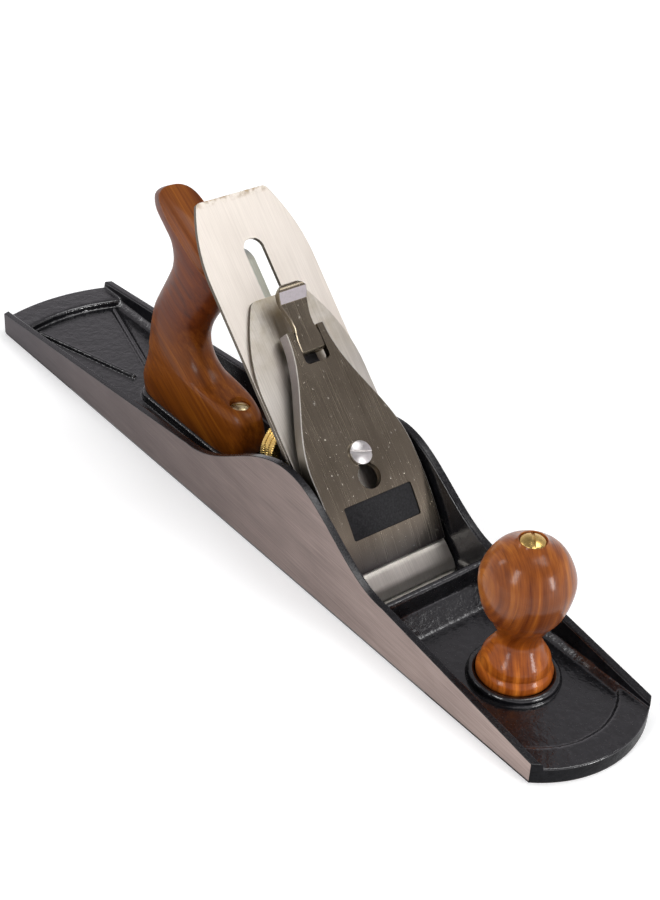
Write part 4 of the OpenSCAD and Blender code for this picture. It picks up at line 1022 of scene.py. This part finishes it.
def depth_wheel():
    """A knurled brass wheel: three bands of fine slanted teeth, a neck and a flange."""
    teeth, segments, bands, groove = 80, 480, 3, 0.8
    shoulder, bore = WHEEL_R - 0.8, STUD_R + 0.6
    profile = [(4.4, 1.6), (12.4, 1.6), (12.8, 0.3), (13.4, 0.0), (shoulder, 0.0)]
    for b in range(bands):
        z0 = b * (WHEEL_W + groove) / bands
        z1 = z0 + (WHEEL_W - (bands - 1) * groove) / bands
        profile += [(WHEEL_R - 0.4, z0 + 0.05), (WHEEL_R - 0.02, z0 + 0.3), (WHEEL_R - 0.02, (z0 + z1) / 2),
                    (WHEEL_R - 0.02, z1 - 0.3), (WHEEL_R - 0.4, z1 - 0.05)]
        if b < bands - 1:
            profile += [(WHEEL_R - 0.7, z1 + 0.1), (WHEEL_R - 0.7, z1 + groove - 0.1)]
    profile += [(shoulder, WHEEL_W), (7.2, WHEEL_W)]
    profile += [(r, WHEEL_W + up) for r, up in (
        (6.2, 0.4), (6.2, 3.0), (FLANGE_R - 0.3, 3.0), (FLANGE_R, 3.3), (FLANGE_R, 4.7),
        (FLANGE_R - 0.3, 5.0), (4.4, 5.0), (bore, 4.8))]
    profile += [(bore, 1.8), (4.4, 1.6)]
    bm = lathe(profile, segments)
    for v in bm.verts:
        r = sqrt(v.co.x**2 + v.co.y**2)
        if r > WHEEL_R - 0.5:
            a = atan2(v.co.y, v.co.x) + v.co.z * 0.055
            cut = 0.55 * abs(((a * teeth / (2 * pi)) % 1) * 2 - 1)
            v.co.x *= (r - cut) / r
            v.co.y *= (r - cut) / r
    bm.transform(on_stud(WHEEL_X))
    bmesh.ops.remove_doubles(bm, verts=bm.verts, dist=1e-4)
    place(solid(bm), "depth_wheel_knurled", "wheel", "depth_wheel", ["brass"], 30)


def threaded(r, start, end, pitch=1.0, depth=0.35, segments=24):
    """A threaded rod along Z from a ring swept up a helix, its ends closed."""
    rings = []
    rows = int((end - start) / pitch * 8)
    for i in range(rows + 1):
        z = lerp(start, end, i / rows)
        taper = 0.5 * clamp(1 - (z - start) / 0.8)
        ring = []
        for k, (c, s) in enumerate(circle(segments)):
            phase = (z / pitch - k / segments) % 1
            out = r - depth * abs(phase * 2 - 1) - taper
            ring.append((out * c, out * s, z))
        rings.append(ring)
    return loft(rings)


def depth_stud():
    stud = solid(threaded(STUD_R, -11, 28.2), on_stud(0))
    place(stud, "depth_stud_threaded", "frog", "depth_stud", ["steel"], 60)


# ---------- lateral adjuster ----------

def lateral_lever():
    """A steel strip that steps back behind the iron and curls over at its thumb end."""
    bend, tip = 114.0, 188.0
    back = LEVER_N - 8
    line = spline([(LEVER_PIVOT_T, LEVER_N), (104, LEVER_N), (bend - 1, LEVER_N), (bend + 3, LEVER_N - 2.6),
                   (bend + 7, LEVER_N - 7.2), (bend + 12, back), (150, back), (tip - 12, back),
                   (tip - 7, back - 0.6), (tip - 3, back - 3.2), (tip - 0.9, back - 6.4),
                   (tip - 0.6, back - 8.4)], 4)
    rings = []
    for i, p in enumerate(line):
        a, b = line[max(i - 1, 0)], line[min(i + 1, len(line) - 1)]
        along = (b - a).normalized()
        across = Vector((-along.y, along.x))
        w = 5.0
        if p.x < 104:
            w = 5.6 if p.x < 97 else lerp(5.6, 5.0, clamp((p.x - 97) / 4))
        if i >= len(line) - 4:
            w = 5.0 - 0.5 * (i - len(line) + 4)
        rings.append([(p.x - across.x * d, y, p.y - across.y * d) for y, d in section(w, 0, LEVER_T, 0.3)])
    obj = solid(loft(rings))
    disc = cylinder_mesh(5.6, LEVER_N - LEVER_T, LEVER_N, 48)
    combine(obj, solid(disc, shift(LEVER_PIVOT_T, 0, 0)), "UNION")
    moved(obj, BED)
    place(obj, "lateral_lever_strip", "lateral", "lateral_lever", ["lever_steel"])


# ---------- knob and tote ----------

def front_knob():
    r, f, h = KNOB_R, KNOB_FOOT_R, KNOB_H
    half = spline([(f - 1, 0), (f, 1.6), (f - 0.1, 4.4), (f - 1.5, 6.8), (f - 1.4, 8.2), (f - 2.2, 11.5),
                   (f - 5, 0.22 * h), (r * 0.46, 0.3 * h), (r * 0.62, 0.41 * h), (r * 0.86, 0.52 * h),
                   (r, 0.69 * h), (r * 0.94, 0.8 * h), (r * 0.72, 0.91 * h), (NUT_R + 2.4, 0.975 * h),
                   (NUT_R + 0.5, h - 0.05)], 6)
    seat, recess_r = h - 3.2, NUT_R + 0.1
    profile = [(ROD_BORE_R, 0)] + [tuple(p) for p in half]
    profile += [(recess_r, h - 0.3), (recess_r, seat), (ROD_BORE_R, seat), (ROD_BORE_R, 0)]
    bm = lathe(profile, 120)
    bmesh.ops.remove_doubles(bm, verts=bm.verts, dist=1e-4)
    knob = solid(bm, shift(KNOB_X, 0, KNOB_Z))
    place(knob, "front_knob_turned", "casting", "front_knob", ["knob_wood"], 50)
    fastener("knob_nut_brass", "casting", "knob_nut", "brass", shift(KNOB_X, 0, KNOB_Z + seat),
             NUT_R, 2.6, 1.8, NUT_SHANK_R, -0.5, slot_w=1.5, turn=140)


# the tote's rear and front edges: height and distance forward, as shares of TOTE_H and TOTE_LEN
BACK = [(0, 0.016), (0.066, 0), (0.164, 0.017), (0.295, 0.037), (0.426, 0.083), (0.508, 0.141),
        (0.607, 0.223), (0.689, 0.283), (0.754, 0.291), (0.82, 0.257), (0.869, 0.174), (0.91, 0.103),
        (0.951, 0.089), (0.975, 0.114), (1, 0.174)]
FRONT = [(0, 0.973), (0.033, 0.993), (0.082, 1), (0.148, 0.996), (0.18, 0.978), (0.202, 0.935),
         (0.211, 0.87), (0.218, 0.783), (0.23, 0.674), (0.262, 0.592), (0.303, 0.538), (0.352, 0.504),
         (0.41, 0.507), (0.475, 0.543), (0.574, 0.63), (0.672, 0.711), (0.754, 0.776), (0.852, 0.793),
         (1, 0.793)]


def tote():
    back, front = (np.array([tuple(p) for p in spline(line, 6)]) for line in (BACK, FRONT))
    levels = sorted(set(np.round(np.concatenate([np.linspace(0, 1, 90), np.linspace(0.17, 0.27, 40)]), 4)))
    rings = []
    for h in levels:
        b = TOTE_LEN * np.interp(h, back[:, 0], back[:, 1])
        f = TOTE_LEN * np.interp(h, front[:, 0], front[:, 1])
        mid, depth = (b + f) / 2, (f - b) / 2
        power = lerp(0.45, 0.86, clamp((h - 0.066) / 0.21))
        half = TOTE_T / 2 * (1 - 0.1 * ease(clamp(1 - abs(h - 0.41) / 0.33)))
        rings.append([(TOTE_REAR_X + mid + depth * np.sign(c) * abs(c) ** power,
                       half * np.sign(s) * abs(s) ** power, TOTE_Z + h * TOTE_H) for c, s in circle(96)])
    bm = loft(rings)
    shave(bm, (NUT_X, 0, NUT_Z), (sin(TOP_SLOPE), 0, cos(TOP_SLOPE)))
    obj = solid(bm)
    bore = stepped_mesh(ROD_BORE_R, -5, ROD_LEN - NUT_RECESS, NUT_R + 0.4, ROD_LEN + 30)
    combine(obj, solid(bore, ROD))
    toe = shift(TOE_SCREW_X, 0, 0)
    combine(obj, solid(stepped_mesh(2.45, 0, TOE_SCREW_Z, TOE_HEAD_R + 0.5, 90), toe))
    weld(obj)
    soften(obj, 0.35, 2, 42)
    place(obj, "tote_shaped", "casting", "tote", ["tote_wood"], 42)

    fastener("tote_nut_brass", "casting", "tote_nut", "brass", ROD @ shift(0, 0, ROD_LEN - NUT_RECESS),
             NUT_R, 2, 1.8, NUT_SHANK_R, -0.5, turn=35)
    fastener("tote_toe_screw_brass", "casting", "tote_toe_screw", "pale_brass",
             shift(TOE_SCREW_X, 0, TOE_SCREW_Z), TOE_HEAD_R, 2, 1.6, 2.4, 1.5 - TOE_SCREW_Z, turn=55)


casting()
frog()
cutting_iron()
cap_iron()
lever_cap()
cam_lever()
depth_wheel()
depth_stud()
lateral_lever()
front_knob()
tote()
fastener("cap_iron_fastener", "iron", "cap_iron_screw", "steel", at_bed(CAP_SCREW_T, -IRON_T, -1),
         CAP_SCREW_R, 2.4, 1, 4.2, -(CAP_T + IRON_T))
fastener("lever_cap_fastener", "frog", "lever_cap_screw", "screw_nickel", at_bed(LC_SCREW_T, LC_TOP + 0.1),
         LC_HEAD_R, 1.7, 1.2, 3.1, -20, 1.7, 1.6, 70)
for side, y, turn in (("left", -FROG_SCREW_Y, 20), ("right", FROG_SCREW_Y, 70)):
    fastener("frog_screw_" + side, "casting", "frog_screws", "steel", shift(FROG_SCREW_X, y, FROG_SCREW_Z),
             6.2, 2.6, 1, 3, -19.2, turn=turn)

KEPT = {"yoke_iron": ["adjusting_yoke"], "spring_steel": ["lever_cap_spring"], "nickel": ["spring_rivet"],
        "steel": ["frog_washers", "frog_adjust_screw", "frog_adjust_clip", "frog_clip_screw", "yoke_pin",
                  "lateral_roller", "lateral_pivot", "cam_pin", "knob_rod", "tote_rod"]}
for finish, names in KEPT.items():
    for name in names:
        data = nodes[name].data
        data.materials.clear()
        data.materials.append(M[finish])


# ---------- floor, light and camera ----------

def floor():
    """White to the eye, with the object's shadow; its glow rises with distance, so low views stay white."""
    mesh = bpy.data.meshes.new("floor")
    s = 6.0
    mesh.from_pydata([(-s, -s, 0), (s, -s, 0), (s, s, 0), (-s, s, 0)], [], [(0, 1, 2, 3)])
    obj = add_object(mesh)
    f = Finish("floor", (0.86, 0.86, 0.86), 0, 0.9, Specular_IOR_Level=0)
    away = f.node("ShaderNodeVectorMath", {0: f.here()}, operation="LENGTH").outputs["Value"]
    glow = f.node("ShaderNodeEmission", {"Strength": f.remap(away, 0.6, 2.0, 0.32, 1.0)})
    path = f.node("ShaderNodeLightPath", {})
    rays = f.math("MAXIMUM", path.outputs["Is Camera Ray"], path.outputs["Is Glossy Ray"])
    rays = f.math("MAXIMUM", rays, path.outputs["Is Transmission Ray"])
    both = f.node("ShaderNodeAddShader", {0: f.shader.outputs[0], 1: glow.outputs[0]})
    seen = f.node("ShaderNodeMixShader", {0: rays, 1: f.shader.outputs[0], 2: both.outputs[0]})
    f.feed(f.tree.nodes["Material Output"], {"Surface": seen.outputs[0]})
    mesh.materials.append(M["floor"])
    obj.location.z = -0.0002


def world():
    """Soft even light, white behind the object, and a paler horizon than zenith in reflections."""
    scene.world = bpy.data.worlds.new("studio")
    scene.world.use_nodes = True
    scene.world.node_tree.nodes.clear()
    t = Nodes(scene.world.node_tree)
    coords = t.node("ShaderNodeTexCoord", {})
    parts = t.node("ShaderNodeSeparateXYZ", {0: coords.outputs["Generated"]})
    sky = t.ramp(parts.outputs["Z"], [
        (at, (level, level * 0.95, level * 1.01)) for at, level in ((0.3, 0.8), (0.62, 0.34))])
    reflected, soft, white = (t.node("ShaderNodeBackground", {"Color": color}).outputs[0]
                              for color in (sky, (0.5, 0.5, 0.51), (1, 1, 1)))
    path = t.node("ShaderNodeLightPath", {})
    lit = t.node("ShaderNodeMixShader", {0: path.outputs["Is Glossy Ray"], 1: soft, 2: reflected})
    seen = t.node("ShaderNodeMixShader", {0: path.outputs["Is Camera Ray"], 1: lit.outputs[0], 2: white})
    t.node("ShaderNodeOutputWorld", {"Surface": seen.outputs[0]})


def lamp(name, at, size, power, aim=(0, 0, 0.03)):
    data = bpy.data.lights.new(name, "AREA")
    data.shape, data.energy = "RECTANGLE", power
    data.size, data.size_y = size
    obj = add_object(data)
    obj.location = at
    obj.rotation_mode = "QUATERNION"
    obj.rotation_quaternion = (Vector(aim) - Vector(at)).to_track_quat("-Z", "Y")


def camera():
    """Stands at the photograph's viewing angle: azimuth, elevation and roll in degrees."""
    azimuth, elevation, roll = radians(50), radians(34.1), radians(3.5)
    distance, across, lift = 0.85, 0.0224, 0.0256
    back = Vector((sin(azimuth) * cos(elevation), -cos(azimuth) * cos(elevation), sin(elevation)))
    level = Vector((cos(azimuth), sin(azimuth), 0))
    rise = back.cross(level)
    right = cos(roll) * level + sin(roll) * rise
    up = cos(roll) * rise - sin(roll) * level
    data = bpy.data.cameras.new("camera")
    data.lens, data.sensor_width = 67.34, 36.0
    data.clip_start, data.clip_end = 0.01, 100
    obj = add_object(data)
    at = back * distance + across * right + lift * up
    obj.matrix_world = Matrix.Translation(at) @ Matrix((right, up, back)).transposed().to_4x4()
    scene.camera = obj


floor()
world()
lamp("key", (0.4, -1.6, 1.05), (0.4, 1.0), 11)
lamp("toe_side", (1.8, 0.48, 0.5), (0.28, 0.6), 9)
lamp("overhead", (0.4, 0.6, 1.9), (1.0, 1.0), 13)
lamp("heel_side", (-1.3, -1.2, 1.1), (0.3, 0.8), 4)
camera()
scene.view_settings.view_transform = "Standard"
